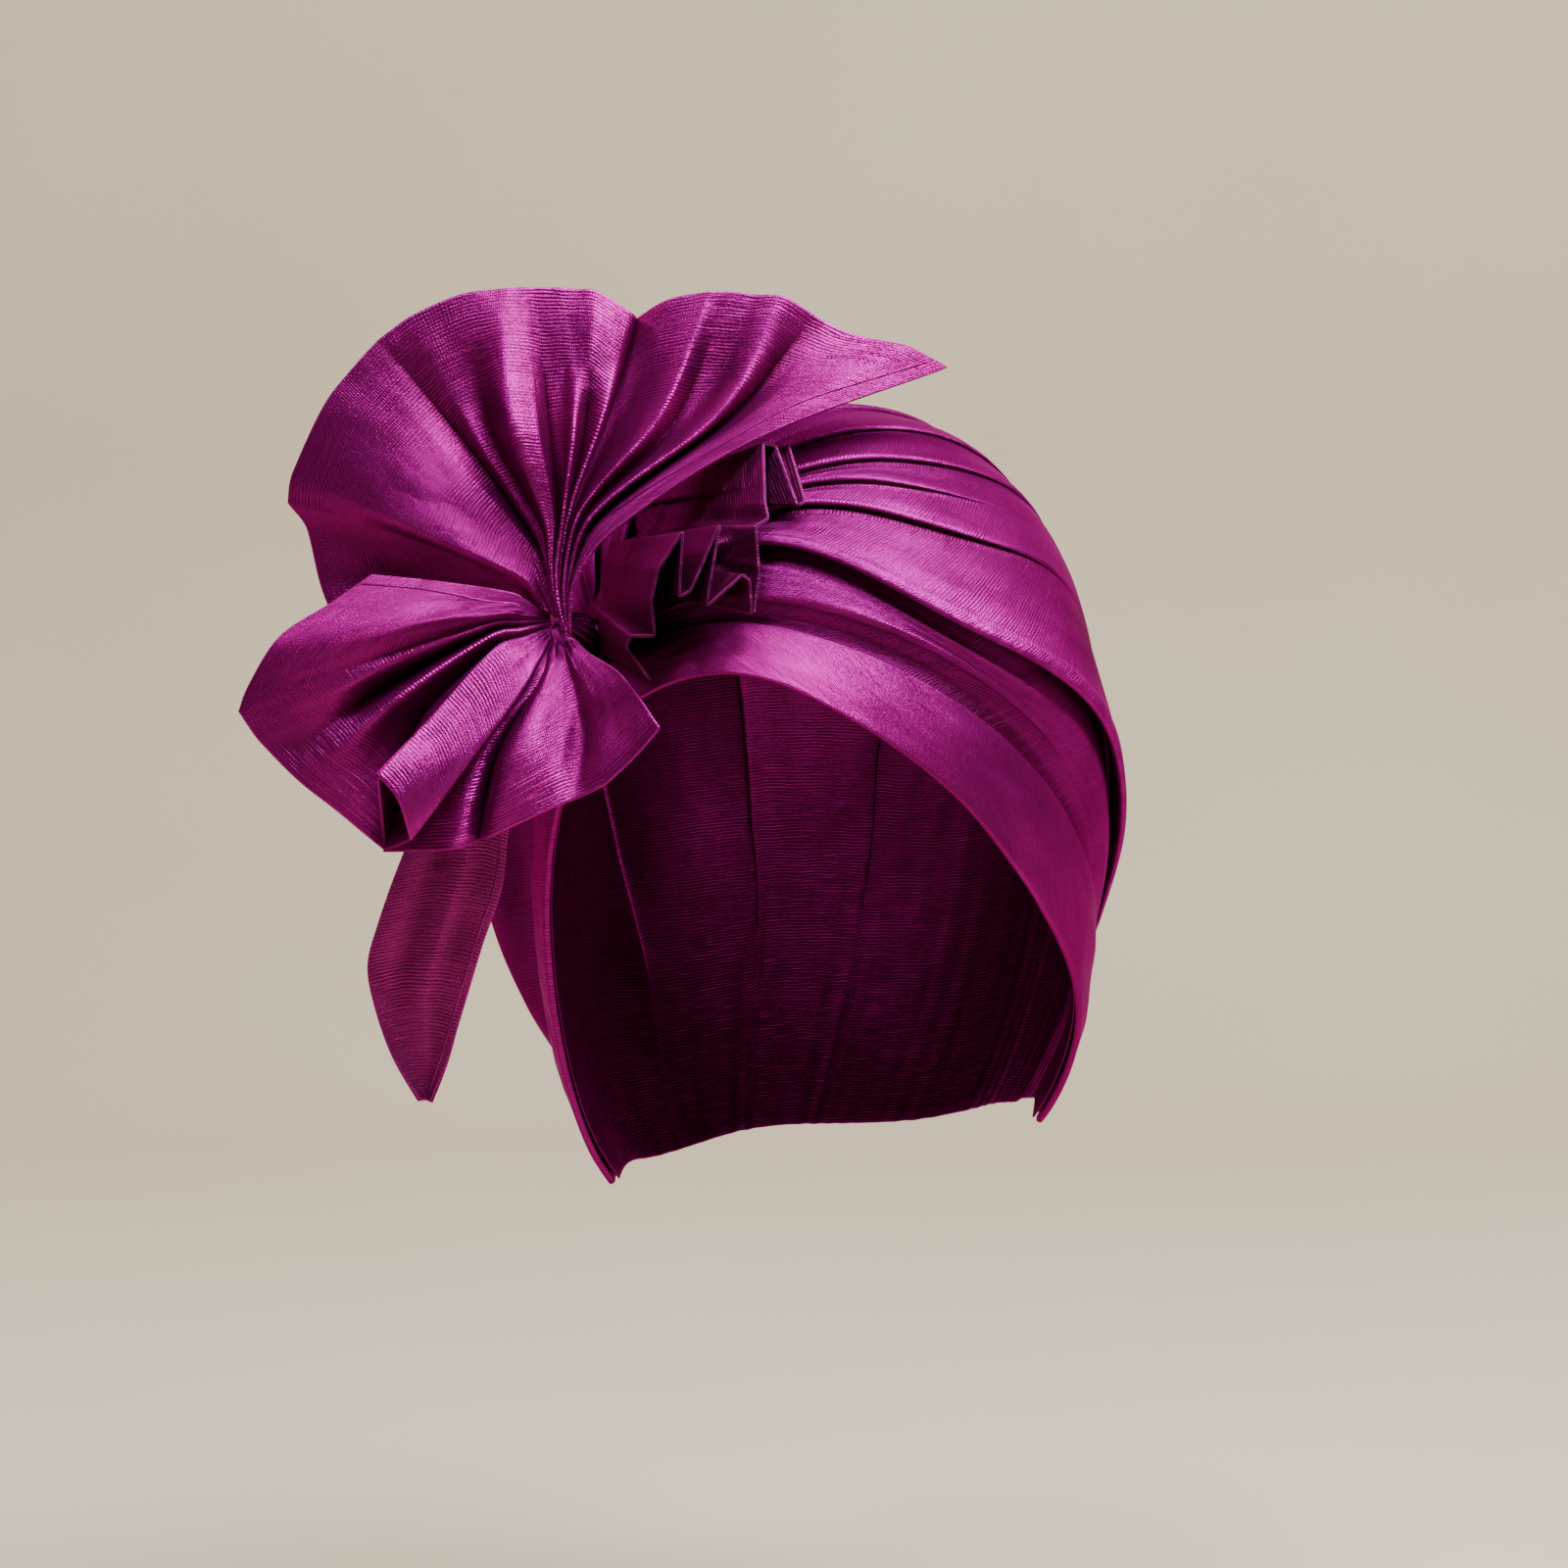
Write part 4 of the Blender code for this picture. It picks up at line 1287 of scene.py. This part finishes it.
@dataclass
class FanLobes:
    """Doubled cloth gathered at the knot, which stands out in pleated lobes."""

    name: str
    node: str
    ribs: tuple[Rib, ...]
    throat: tuple[float, float, float]
    throat_end: tuple[float, float, float]
    throat_spread: float
    stack: float = 1.0
    neck: tuple[Place, Place] | None = None
    between: int = 13
    rows: int = 66
    cloth: float = 0.0009
    gather_pleats: float = 1.5
    rest_gap: float = 0.0022
    soft_mm: float = 0.55
    fine_mm: float = 0.14
    hem_inset: float = 0.0045
    hem_from: int = 16

    def rib_line(self, n: int, q: np.ndarray) -> np.ndarray:
        """Places down one rib, in millimetres from the gather.

        Args:
            n: Number of the rib.
            q: Steps from the throat to the rim.

        Returns:
            One place for each step.
        """
        rib = self.ribs[n]
        share = n / (len(self.ribs) - 1)
        towards = np.array(rib.near) / np.hypot(*rib.near)
        turned = smooth(0.08, 0.45, share)
        throat = np.array(self.throat) * (1 - turned) + np.array(self.throat_end) * turned
        throat = throat + np.array((towards[0], towards[1], 0.0)) * self.throat_spread
        throat[2] += (n % 2 - 0.5) * (1.6 + 0.9 * math.sin(n * 2.1)) * self.stack + share * 0.5
        near = (*rib.near, rib.lifts[0])
        mid = (*rib.mid, rib.lifts[1])
        rim = (*rib.rim, rib.lifts[3])
        neck = (throat[:2] + near[:2]) / 2
        if self.neck is not None:
            first, last = np.array(self.neck)
            neck = neck * (1 - turned) + (first + (last - first) * share) * turned
        line = through((0.0, 0.15, 0.3, 0.62, 1.0), np.array((throat, (*neck, 0.0), near, mid, rim)), q)
        lift = through((0.0, 0.3, 0.6, 0.8, 1.0), np.array((throat[2], *rib.lifts)), q)
        line[:, 2] = lift[:, 0]
        return line

    def surface(self) -> np.ndarray:
        """Places of the cloth's middle.

        Returns:
            One row of points for each step from the throat to the rim.
        """
        q = np.linspace(0, 1, self.rows)
        count = len(self.ribs)
        stack = np.array([self.rib_line(n, q) for n in range(count)])
        at = np.linspace(0, count - 1, (count - 1) * self.between + 1)
        crisp = [rib.crisp for rib in self.ribs]
        rows = []
        for i in range(self.rows):
            rows.append(through(range(count), stack[:, i], at, crisp))
        grid = np.array(rows)
        fade = (1 - smooth(0.12, 0.34, q)) * smooth(0.0, 0.05, q)
        phase = at * self.gather_pleats + 0.35 * np.sin(at * 2.3)
        pleat = np.abs((phase % 1.0) * 2 - 1) * 2 - 1
        grid[:, :, 2] += np.outer(fade, pleat) * (0.45 * self.stack)
        soft = ripple(np.broadcast_to(at / 3.0, grid.shape[:2]), np.outer(q * 2.6, np.ones_like(at)), 71)
        fine = ripple(np.broadcast_to(at / 1.1, grid.shape[:2]), np.outer(q * 6.0, np.ones_like(at)), 83)
        calm = np.outer(smooth(0.12, 0.4, q), np.ones_like(at))
        grid[:, :, 2] += (self.soft_mm * soft + self.fine_mm * fine) * calm
        return from_gather(grid[:, :, :1], grid[:, :, 1:2], grid[:, :, 2:])

    def build(self, shop: Workshop, selvage: SelvageTree) -> None:
        """Make the lobes with their rolled selvage.

        Args:
            shop: Finishes and the cloth under this piece.
            selvage: Maker of the rolled borders.
        """
        points = clear_of_knot(self.surface(), self.cloth / 2 + PIECE_GAP)
        points = shop.cover.rest(points, self.rest_gap)
        grid = ClothGrid(facing_viewer(points), self.cloth, Edge.HEMMED)
        line = grid.inside_line(self.hem_inset, self.hem_from)
        hem = selvage.roll(self.name + "_hem", line, shop.finishes["bow_silk"])
        shop.cloth(self.name, self.node, "bow_silk", grid, "gathered", ["knot_cloth"], [hem])


UPPER_LOBES = (
    Rib((-15.0, 5.0), (-36.5, 4.0), (-66.0, -2.0), (-8, -14, -15, -16), 0.0),
    Rib((-15.5, 6.5), (-38.0, 9.0), (-70.0, 8.5), (-8, -15, -16, -17), 0.0),
    Rib((-15.0, 7.5), (-38.5, 15.0), (-73.5, 24.0), (-6, -12, -14, -16.5), 0.3),
    Rib((-13.5, 9.0), (-40.0, 20.0), (-78.5, 31.0), (-4, -9, -11, -15), 0.9),
    Rib((-12.5, 10.5), (-40.5, 23.0), (-77.0, 39.0), (1, -3, -8, -14), 0.4),
    Rib((-10.0, 14.5), (-36.5, 33.5), (-67.5, 58.5), (-1, -5, -8.5, -12.5), 0.0),
    Rib((-8.0, 17.0), (-30.5, 42.0), (-58.0, 70.5), (-2, -7.5, -10.5, -13), 0.4),
    Rib((-7.5, 19.5), (-27.0, 46.5), (-52.5, 76.5), (-6, -12, -13, -14), 1.0),
    Rib((-7.0, 21.0), (-24.0, 48.0), (-43.5, 83.0), (-2, -7.5, -10.5, -14), 0.4),
    Rib((-5.5, 23.5), (-19.5, 50.0), (-29.5, 89.0), (-1, -7, -10.5, -13.5), 0.0),
    Rib((-4.5, 24.5), (-14.0, 53.0), (-18.5, 90.5), (3, 5, -4.5, -13), 0.3),
    Rib((-2.5, 25.5), (-7.0, 52.5), (-12.0, 91.0), (2.5, 3.5, -7, -13), 0.7),
    Rib((-1.5, 27.5), (-4.2, 52.5), (-8.5, 91.0), (-3, -6.5, -11, -13), 0.9),
    Rib((0.0, 28.0), (0.5, 52.5), (-3.0, 91.0), (1, -3, -9.5, -13), 0.1),
    Rib((0.5, 28.5), (3.5, 54.0), (3.0, 90.5), (2.5, 0.5, -8, -12.5), 0.3),
    Rib((1.5, 28.5), (6.5, 55.0), (9.0, 90.0), (-1, -6, -6, -11.5), 0.4),
    Rib((2.0, 28.0), (11.0, 54.0), (18.5, 84.0), (2.0, 0, -6.5, -13), 0.4),
    Rib((2.0, 27.5), (11.5, 53.5), (20.0, 82.5), (-3, -9, -13, -18), 1.0),
    Rib((3.5, 28.0), (18.5, 58.0), (29.5, 87.5), (-2, -8.5, -10, -10.5), 0.0),
    Rib((5.0, 28.0), (27.5, 55.0), (41.0, 89.5), (4, 2, -3, -7.5), 0.9),
    Rib((6.0, 27.5), (31.5, 54.5), (46.0, 89.5), (-1, -5, -7.5, -8.5), 0.5),
    Rib((7.0, 27.5), (38.5, 57.5), (54.0, 88.5), (0, -3.5, -5.5, -7), 0.0),
    Rib((8.5, 27.0), (44.0, 55.5), (61.5, 88.0), (5, 3.5, -1, -6), 0.2),
    Rib((9.5, 26.5), (48.0, 56.0), (70.0, 83.0), (-3, -3.5, -6, -8), 0.7),
    Rib((11.5, 25.5), (51.5, 54.0), (80.0, 78.0), (5, 4.5, -2, -9), 0.2),
    Rib((12.5, 24.0), (54.0, 51.5), (97.0, 74.5), (6, 8.5, 1, -12), 0.7),
    Rib((14.0, 22.5), (54.0, 48.0), (107.5, 69.0), (7, 11, 2, -15), 0.9),
)
LOWER_LOBES = (
    Rib((-14.0, 5.5), (-33.0, 8.5), (-53.5, 10.5), (3, 5, 2, -1), 0.6),
    Rib((-14.0, 3.0), (-39.5, 3.5), (-64.5, 2.5), (4, 9, 7, 4), 0.8),
    Rib((-15.5, 1.5), (-44.0, -2.0), (-78.0, -6.5), (7, 15, 12, 7), 0.0),
    Rib((-18.0, -0.5), (-48.0, -6.5), (-86.5, -19.5), (8, 15, 12, 7), 0.0),
    Rib((-19.5, -2.0), (-51.0, -12.0), (-89.5, -27.0), (6, 12, 11, 7), 1.0),
    Rib((-19.5, -3.0), (-50.0, -15.5), (-84.5, -34.5), (7, 12, 10, 7), 0.2),
    Rib((-20.0, -5.0), (-50.0, -20.5), (-78.0, -41.5), (3, 2.5, 8, 7.5), 0.5),
    Rib((-20.0, -6.5), (-47.5, -25.0), (-71.5, -47.5), (8.5, 13, 11, 8), 0.2),
    Rib((-21.0, -8.5), (-44.5, -28.5), (-62.0, -55.0), (6, 8, 8, 8), 0.0),
    Rib((-20.0, -11.0), (-41.0, -31.5), (-49.5, -65.5), (2, 2, 4, 7), 0.9),
    Rib((-18.0, -9.5), (-35.0, -28.5), (-48.5, -43.0), (11, 20, 25.5, 30), 1.0),
    Rib((-14.0, -13.0), (-28.5, -31.5), (-43.0, -50.0), (12, 21, 26, 30), 0.0),
    Rib((-10.0, -20.5), (-20.5, -35.5), (-40.0, -61.0), (13, 20.5, 24.5, 27.5), 0.9),
    Rib((-19.0, -12.0), (-40.5, -32.2), (-49.6, -65.9), (1.4, 0.8, 4.6, 8.6), 1.0),
    Rib((-7.0, -18.0), (-22.0, -37.5), (-29.5, -64.5), (6, 13, 17, 19), 0.3),
    Rib((-6.0, -18.5), (-17.5, -38.5), (-22.5, -62.0), (3, 8, 11, 15), 1.0),
    Rib((-4.5, -17.0), (-14.0, -37.0), (-18.5, -60.5), (9, 22, 25, 23.5), 0.2),
    Rib((-2.5, -15.5), (-8.0, -34.5), (-12.5, -57.5), (10, 23.5, 27, 26), 0.0),
    Rib((-0.5, -15.5), (0.0, -33.5), (-1.5, -52.5), (8, 18, 23, 25.5), 0.0),
    Rib((2.0, -15.5), (5.5, -30.5), (6.0, -49.5), (6, 13, 18, 24.5), 0.0),
    Rib((3.5, -14.0), (10.5, -26.5), (13.0, -46.0), (8, 17, 23, 27), 0.8),
    Rib((5.0, -12.0), (14.5, -22.5), (21.0, -38.5), (8, 18, 24, 28.5), 0.1),
    Rib((7.5, -11.0), (17.5, -17.0), (28.0, -30.5), (8, 18, 25, 30), 0.5),
)


@dataclass(frozen=True)
class Corner:
    """Corner of a ruffle's free edge, in millimetres from the gather, and where its crease starts."""

    right: float
    up: float
    towards: float
    start: Place


@dataclass
class Ruffle:
    """Zigzag pleat ends beside the knot, whose creases run back under the bow."""

    name: str
    node: str
    corners: tuple[Corner, ...]
    cloth: float = 0.0008
    rows: int = 34
    round_off: float = 0.9
    start_gap: float = 0.0016
    belly_mm: float = 0.8
    give: float = 0.0010

    def paths(self) -> tuple[np.ndarray, np.ndarray]:
        """Free edge and start line, with rounded corners.

        Returns:
            Places along the edge and along the start line, in millimetres from the gather.
        """
        ends = np.array([(c.right, c.up, c.towards) for c in self.corners], float)
        starts = np.array([(c.start[0], c.start[1], 0.0) for c in self.corners], float)
        edge, line = [ends[0]], [starts[0]]
        for n in range(1, len(ends)):
            span = np.linalg.norm(ends[n] - ends[n - 1])
            cut = min(self.round_off / span, 0.4)
            low = cut if n > 1 else 0.0
            high = 1 - cut if n < len(ends) - 1 else 1.0
            for share in np.linspace(low, high, max(4, int(span / 1.2))):
                edge.append(ends[n - 1] + (ends[n] - ends[n - 1]) * share)
                line.append(starts[n - 1] + (starts[n] - starts[n - 1]) * share)
            if n < len(ends) - 1:
                after = min(self.round_off / np.linalg.norm(ends[n + 1] - ends[n]), 0.4)
                low_end, low_start = edge[-1], line[-1]
                high_end = ends[n] + (ends[n + 1] - ends[n]) * after
                high_start = starts[n] + (starts[n + 1] - starts[n]) * after
                for share in (0.25, 0.5, 0.75):
                    a, b, c = (1 - share) ** 2, 2 * share * (1 - share), share**2
                    edge.append(low_end * a + ends[n] * b + high_end * c)
                    line.append(low_start * a + starts[n] * b + high_start * c)
        return np.array(edge), np.array(line)

    def build(self, shop: Workshop) -> None:
        """Make the ruffle.

        Args:
            shop: Finishes and the cloth under this piece.
        """
        edge, line = self.paths()
        q = np.linspace(0, 1, self.rows)[:, None, None]
        ends = from_gather(edge[:, :1], edge[:, 1:2], edge[:, 2:])
        starts = []
        for right, up, _ in line:
            spot = from_gather(right, up)
            starts.append((spot[0], -shop.cover.front(spot[0], spot[2]) - self.start_gap, spot[2]))
        starts = np.array(starts)
        points = starts[None] + (ends - starts)[None] * q
        points = points + VIEWER * (self.belly_mm * MM * np.sin(np.pi * q))
        points = clear_of_knot(points, self.cloth / 2 + PIECE_GAP)
        points = shop.cover.rest(points, self.cloth / 2 + PIECE_GAP * 2, self.give)
        grid = ClothGrid(facing_viewer(points), self.cloth, Edge.HEMMED)
        shop.cloth(self.name, self.node, "ruffle_silk", grid, "gathered", ["knot_cloth", "crown_cloth"])


LOWER_CORNERS = (
    Corner(25.5, -17.5, 30, (3.0, -7.0)),
    Corner(19.0, -8.5, 31, (5.0, -4.0)),
    Corner(20.5, -5.5, 34, (7.0, 2.0)),
    Corner(27.0, -5.5, 35, (9.0, 3.0)),
    Corner(26.0, 4.0, 35, (10.0, 6.0)),
    Corner(28.0, 12.5, 35, (11.0, 13.0)),
    Corner(34.5, 22.5, 34, (13.0, 20.0)),
    Corner(33.5, 5.0, 36, (15.0, 9.0)),
    Corner(36.5, 6.5, 36, (18.0, 9.0)),
    Corner(44.5, 24.5, 33, (19.0, 21.0)),
    Corner(41.5, 7.0, 36, (22.0, 9.0)),
    Corner(41.0, 2.5, 36, (23.0, 6.0)),
    Corner(50.5, 11.0, 33, (25.0, 14.0)),
    Corner(52.5, 9.5, 33, (27.0, 13.0)),
    Corner(53.0, 0.5, 33, (29.0, 6.0)),
)
UPPER_CORNERS = (
    Corner(53.5, 1.0, 32, (24.0, 15.0)),
    Corner(55.0, 11.0, 30, (23.0, 19.0)),
    Corner(54.0, 24.0, 28, (20.0, 24.0)),
    Corner(57.5, 26.0, 26, (20.0, 26.0)),
    Corner(56.5, 30.5, 24, (20.0, 28.0)),
    Corner(56.0, 47.0, 10, (20.0, 35.0)),
    Corner(59.5, 46.0, 8, (25.0, 36.0)),
    Corner(65.5, 29.5, 20, (34.0, 31.0)),
    Corner(67.5, 31.0, 18, (36.0, 31.0)),
    Corner(63.0, 46.5, 5, (34.0, 38.0)),
)


@dataclass
class Tail:
    """Hanging end below the bow, a pointed doubled strip with lengthwise creases."""

    cloth: float = 0.0012
    columns: int = 56
    rows: int = 130
    crease: float = 0.60
    crease_fall_mm: float = 9.0
    crease_rise_mm: float = 2.5
    soft_mm: float = 0.4
    gathers: int = 6
    gather_mm: float = 0.8
    rest_gap: float = 0.0022
    hem_inset: float = 0.0020
    hem_from: int = 30
    outline: tuple[tuple[float, float, float, float, float, float], ...] = (
        # down the tail, left, left up, right, right up, towards the viewer
        (0.00, -4.0, -6.0, 1.5, -8.0, -4.0),
        (0.12, -16.0, -18.0, -7.0, -20.0, -12.0),
        (0.28, -30.0, -38.0, -13.5, -42.0, -17.0),
        (0.42, -42.0, -58.0, -17.5, -63.0, -20.0),
        (0.52, -48.5, -72.0, -19.5, -79.0, -20.0),
        (0.64, -55.0, -90.0, -25.0, -95.0, -20.0),
        (0.74, -58.0, -101.5, -29.0, -108.0, -20.0),
        (0.82, -56.5, -112.0, -32.0, -118.0, -20.0),
        (0.91, -51.5, -127.0, -35.5, -130.0, -20.0),
        (1.00, -43.5, -140.5, -40.0, -141.0, -20.0),
    )

    def build(self, shop: Workshop, selvage: SelvageTree) -> None:
        """Make the tail with its rolled selvage.

        Args:
            shop: Finishes and the cloth under this piece.
            selvage: Maker of the rolled border.
        """
        stops = [row[0] for row in self.outline]
        table = through(stops, np.array([row[1:] for row in self.outline]), np.linspace(0, 1, self.rows))
        share = np.linspace(0, 1, self.columns)
        down = np.linspace(0, 1, self.rows)
        left = from_gather(table[:, :1], table[:, 1:2])
        right = from_gather(table[:, 2:3], table[:, 3:4])
        points = left[:, None] + (right - left)[:, None] * share[None, :, None]
        lift = table[:, 4:5] - 4.5 * np.sin(np.pi * share)[None] * 0.6
        ridge = -np.abs(share - self.crease) * self.crease_fall_mm + self.crease_rise_mm
        ridge = ridge + 0.5 * np.sin(share * 2 * np.pi * 2.4)
        creases = ridge[None] * smooth(0.02, 0.3, down)[:, None] * (1 - smooth(0.72, 1.0, down))[:, None]
        soft = ripple(share[None] * 1.5 + down[:, None] * 0, down[:, None] * 4.0, 91)
        gathers = np.sin(share * 2 * np.pi * self.gathers)[None] * (1 - smooth(0.05, 0.38, down))[:, None]
        lift = lift + creases + self.soft_mm * soft + gathers * self.gather_mm
        points = points + (lift * MM)[:, :, None] * VIEWER
        points = clear_of_knot(points, self.cloth / 2 + PIECE_GAP)
        points = shop.cover.rest(points, self.rest_gap)
        grid = ClothGrid(facing_viewer(points), self.cloth, Edge.HEMMED)
        line = grid.inside_line(self.hem_inset, self.hem_from, begin=True)
        hem = selvage.roll("tail_hem", line, shop.finishes["tail_silk"])
        shop.cloth("tail_cloth", "tail", "tail_silk", grid, "hung", ["knot_cloth"], [hem])


@dataclass(frozen=True)
class Lamp:
    """Square soft light."""

    name: str
    place: tuple[float, float, float]
    aim: tuple[float, float, float]
    side: float
    power: float
    colour: Colour


@dataclass
class Studio:
    """Plain pale floor and wall, soft light, and the camera in front."""

    lift: float = 4.0
    distance: float = 1.0
    lens: float = 76.5
    film: float = 36.0
    aside: float = 0.0094118
    raised: float = 0.0147059
    floor: float = -0.42
    wall: float = 1.55
    bend: float = 0.45
    front: float = -2.2
    top: float = 3.0
    half_width: float = 3.2
    sky: Colour = (1.00, 0.84, 0.64)
    sky_strength: float = 0.115
    lamps: tuple[Lamp, ...] = (
        Lamp("key", (0.52, -0.42, 1.08), (0.0, 0.0, -0.08), 0.70, 52.0, (0.97, 0.95, 1.0)),
        Lamp("fill", (-0.28, -0.60, 1.08), (0.0, 0.0, -0.10), 0.30, 13.0, (0.97, 0.95, 1.0)),
        Lamp("wall left", (-1.6, 0.5, 1.4), (-0.4, 1.55, 0.2), 0.9, 24.0, (1.0, 0.93, 0.80)),
        Lamp("wall right", (1.6, 0.5, 1.2), (0.5, 1.55, 0.0), 0.9, 24.0, (1.0, 0.93, 0.80)),
    )

    def build(self) -> None:
        """Make the studio round the wrap."""
        self.sweep()
        self.lights()
        self.camera()

    def sweep(self) -> None:
        """Floor that turns up into a wall behind."""
        low, back, bend = self.floor, self.wall, self.bend
        profile = [(self.front, low), (back - bend, low)]
        profile += [(back - bend + bend * math.sin(a), low + bend - bend * math.cos(a))
                    for a in np.linspace(0.1, math.pi / 2, 14)]
        profile += [(back, self.top)]
        verts = [(x, y, z) for y, z in profile for x in (-self.half_width, self.half_width)]
        faces = [(2 * i, 2 * i + 1, 2 * i + 3, 2 * i + 2) for i in range(len(profile) - 1)]
        mesh = bpy.data.meshes.new("pale_sweep")
        mesh.from_pydata(verts, [], faces)
        mesh.polygons.foreach_set("use_smooth", [True] * len(mesh.polygons))
        paper = bpy.data.materials.new("pale_paper")
        paper.use_nodes = True
        nodes = Nodes(paper.node_tree)
        shader = paper.node_tree.nodes["Principled BSDF"]
        around = nodes.add("ShaderNodeTexCoord")
        noise = nodes.noise(around.outputs["Object"], scale=3.0, detail=4.0, dimensions="3D")
        tone = nodes.colour_mix(noise, (0.52, 0.455, 0.33, 1.0), (0.57, 0.505, 0.38, 1.0))
        paper.node_tree.links.new(tone, shader.inputs["Base Color"])
        shader.inputs["Roughness"].default_value = 0.9
        mesh.materials.append(paper)
        sweep = bpy.data.objects.new("pale_sweep", mesh)
        bpy.context.scene.collection.objects.link(sweep)

    def lights(self) -> None:
        """Soft key and fill from above and in front, two lights on the wall and a pale sky."""
        for lamp in self.lamps:
            light = bpy.data.lights.new(lamp.name, "AREA")
            light.energy, light.size, light.color = lamp.power, lamp.side, lamp.colour
            holder = bpy.data.objects.new(lamp.name, light)
            bpy.context.scene.collection.objects.link(holder)
            holder.location = lamp.place
            beam = Vector(lamp.aim) - Vector(lamp.place)
            holder.rotation_euler = beam.to_track_quat("-Z", "Y").to_euler()
        world = bpy.data.worlds.new("pale_sky")
        bpy.context.scene.world = world
        world.use_nodes = True
        sky = world.node_tree.nodes["Background"]
        sky.inputs[0].default_value = (*self.sky, 1.0)
        sky.inputs[1].default_value = self.sky_strength

    def camera(self) -> None:
        """Camera a little above the brow, looking slightly down."""
        angle = math.radians(self.lift)
        forward = Vector((0.0, math.cos(angle), -math.sin(angle)))
        right = Vector((1.0, 0.0, 0.0))
        up = right.cross(forward)
        place = Vector((0.0, 0.0, -SEAT[2])) - forward * self.distance
        place = place - right * self.aside + up * self.raised
        turn = Matrix((right, up, -forward)).transposed().to_4x4()
        turn.translation = place
        lens = bpy.data.cameras.new("camera")
        lens.sensor_width, lens.lens = self.film, self.lens
        lens.clip_start, lens.clip_end = 0.05, 20.0
        holder = bpy.data.objects.new("camera", lens)
        bpy.context.scene.collection.objects.link(holder)
        holder.matrix_world = turn
        bpy.context.scene.camera = holder


def main() -> None:
    """Build the wrap in order, then the studio."""
    shop = Workshop()
    selvage = SelvageTree()
    PleatedCrown().build(shop)
    BrowBand().build(shop)
    SideFold().build(shop)
    Knot().build(shop)
    FanLobes("upper_fan_cloth", "upper_fan", UPPER_LOBES, (-2.0, -0.5, -1.0), (1.4, -8.0, 6.0), 2.0, 1.25,
             ((-7.5, 11.0), (3.6, 8.0))).build(shop, selvage)
    FanLobes("lower_fan_cloth", "lower_fan", LOWER_LOBES, (-2.0, -1.0, -3.0), (-1.5, -3.0, -2.0),
             2.2, 0.5).build(shop, selvage)
    Ruffle("ruffle_lower_cloth", "ruffle_lower", LOWER_CORNERS).build(shop)
    Ruffle("ruffle_upper_cloth", "ruffle_upper", UPPER_CORNERS).build(shop)
    Tail().build(shop, selvage)
    Studio().build()
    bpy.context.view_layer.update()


if __name__ == "__main__":
    main()
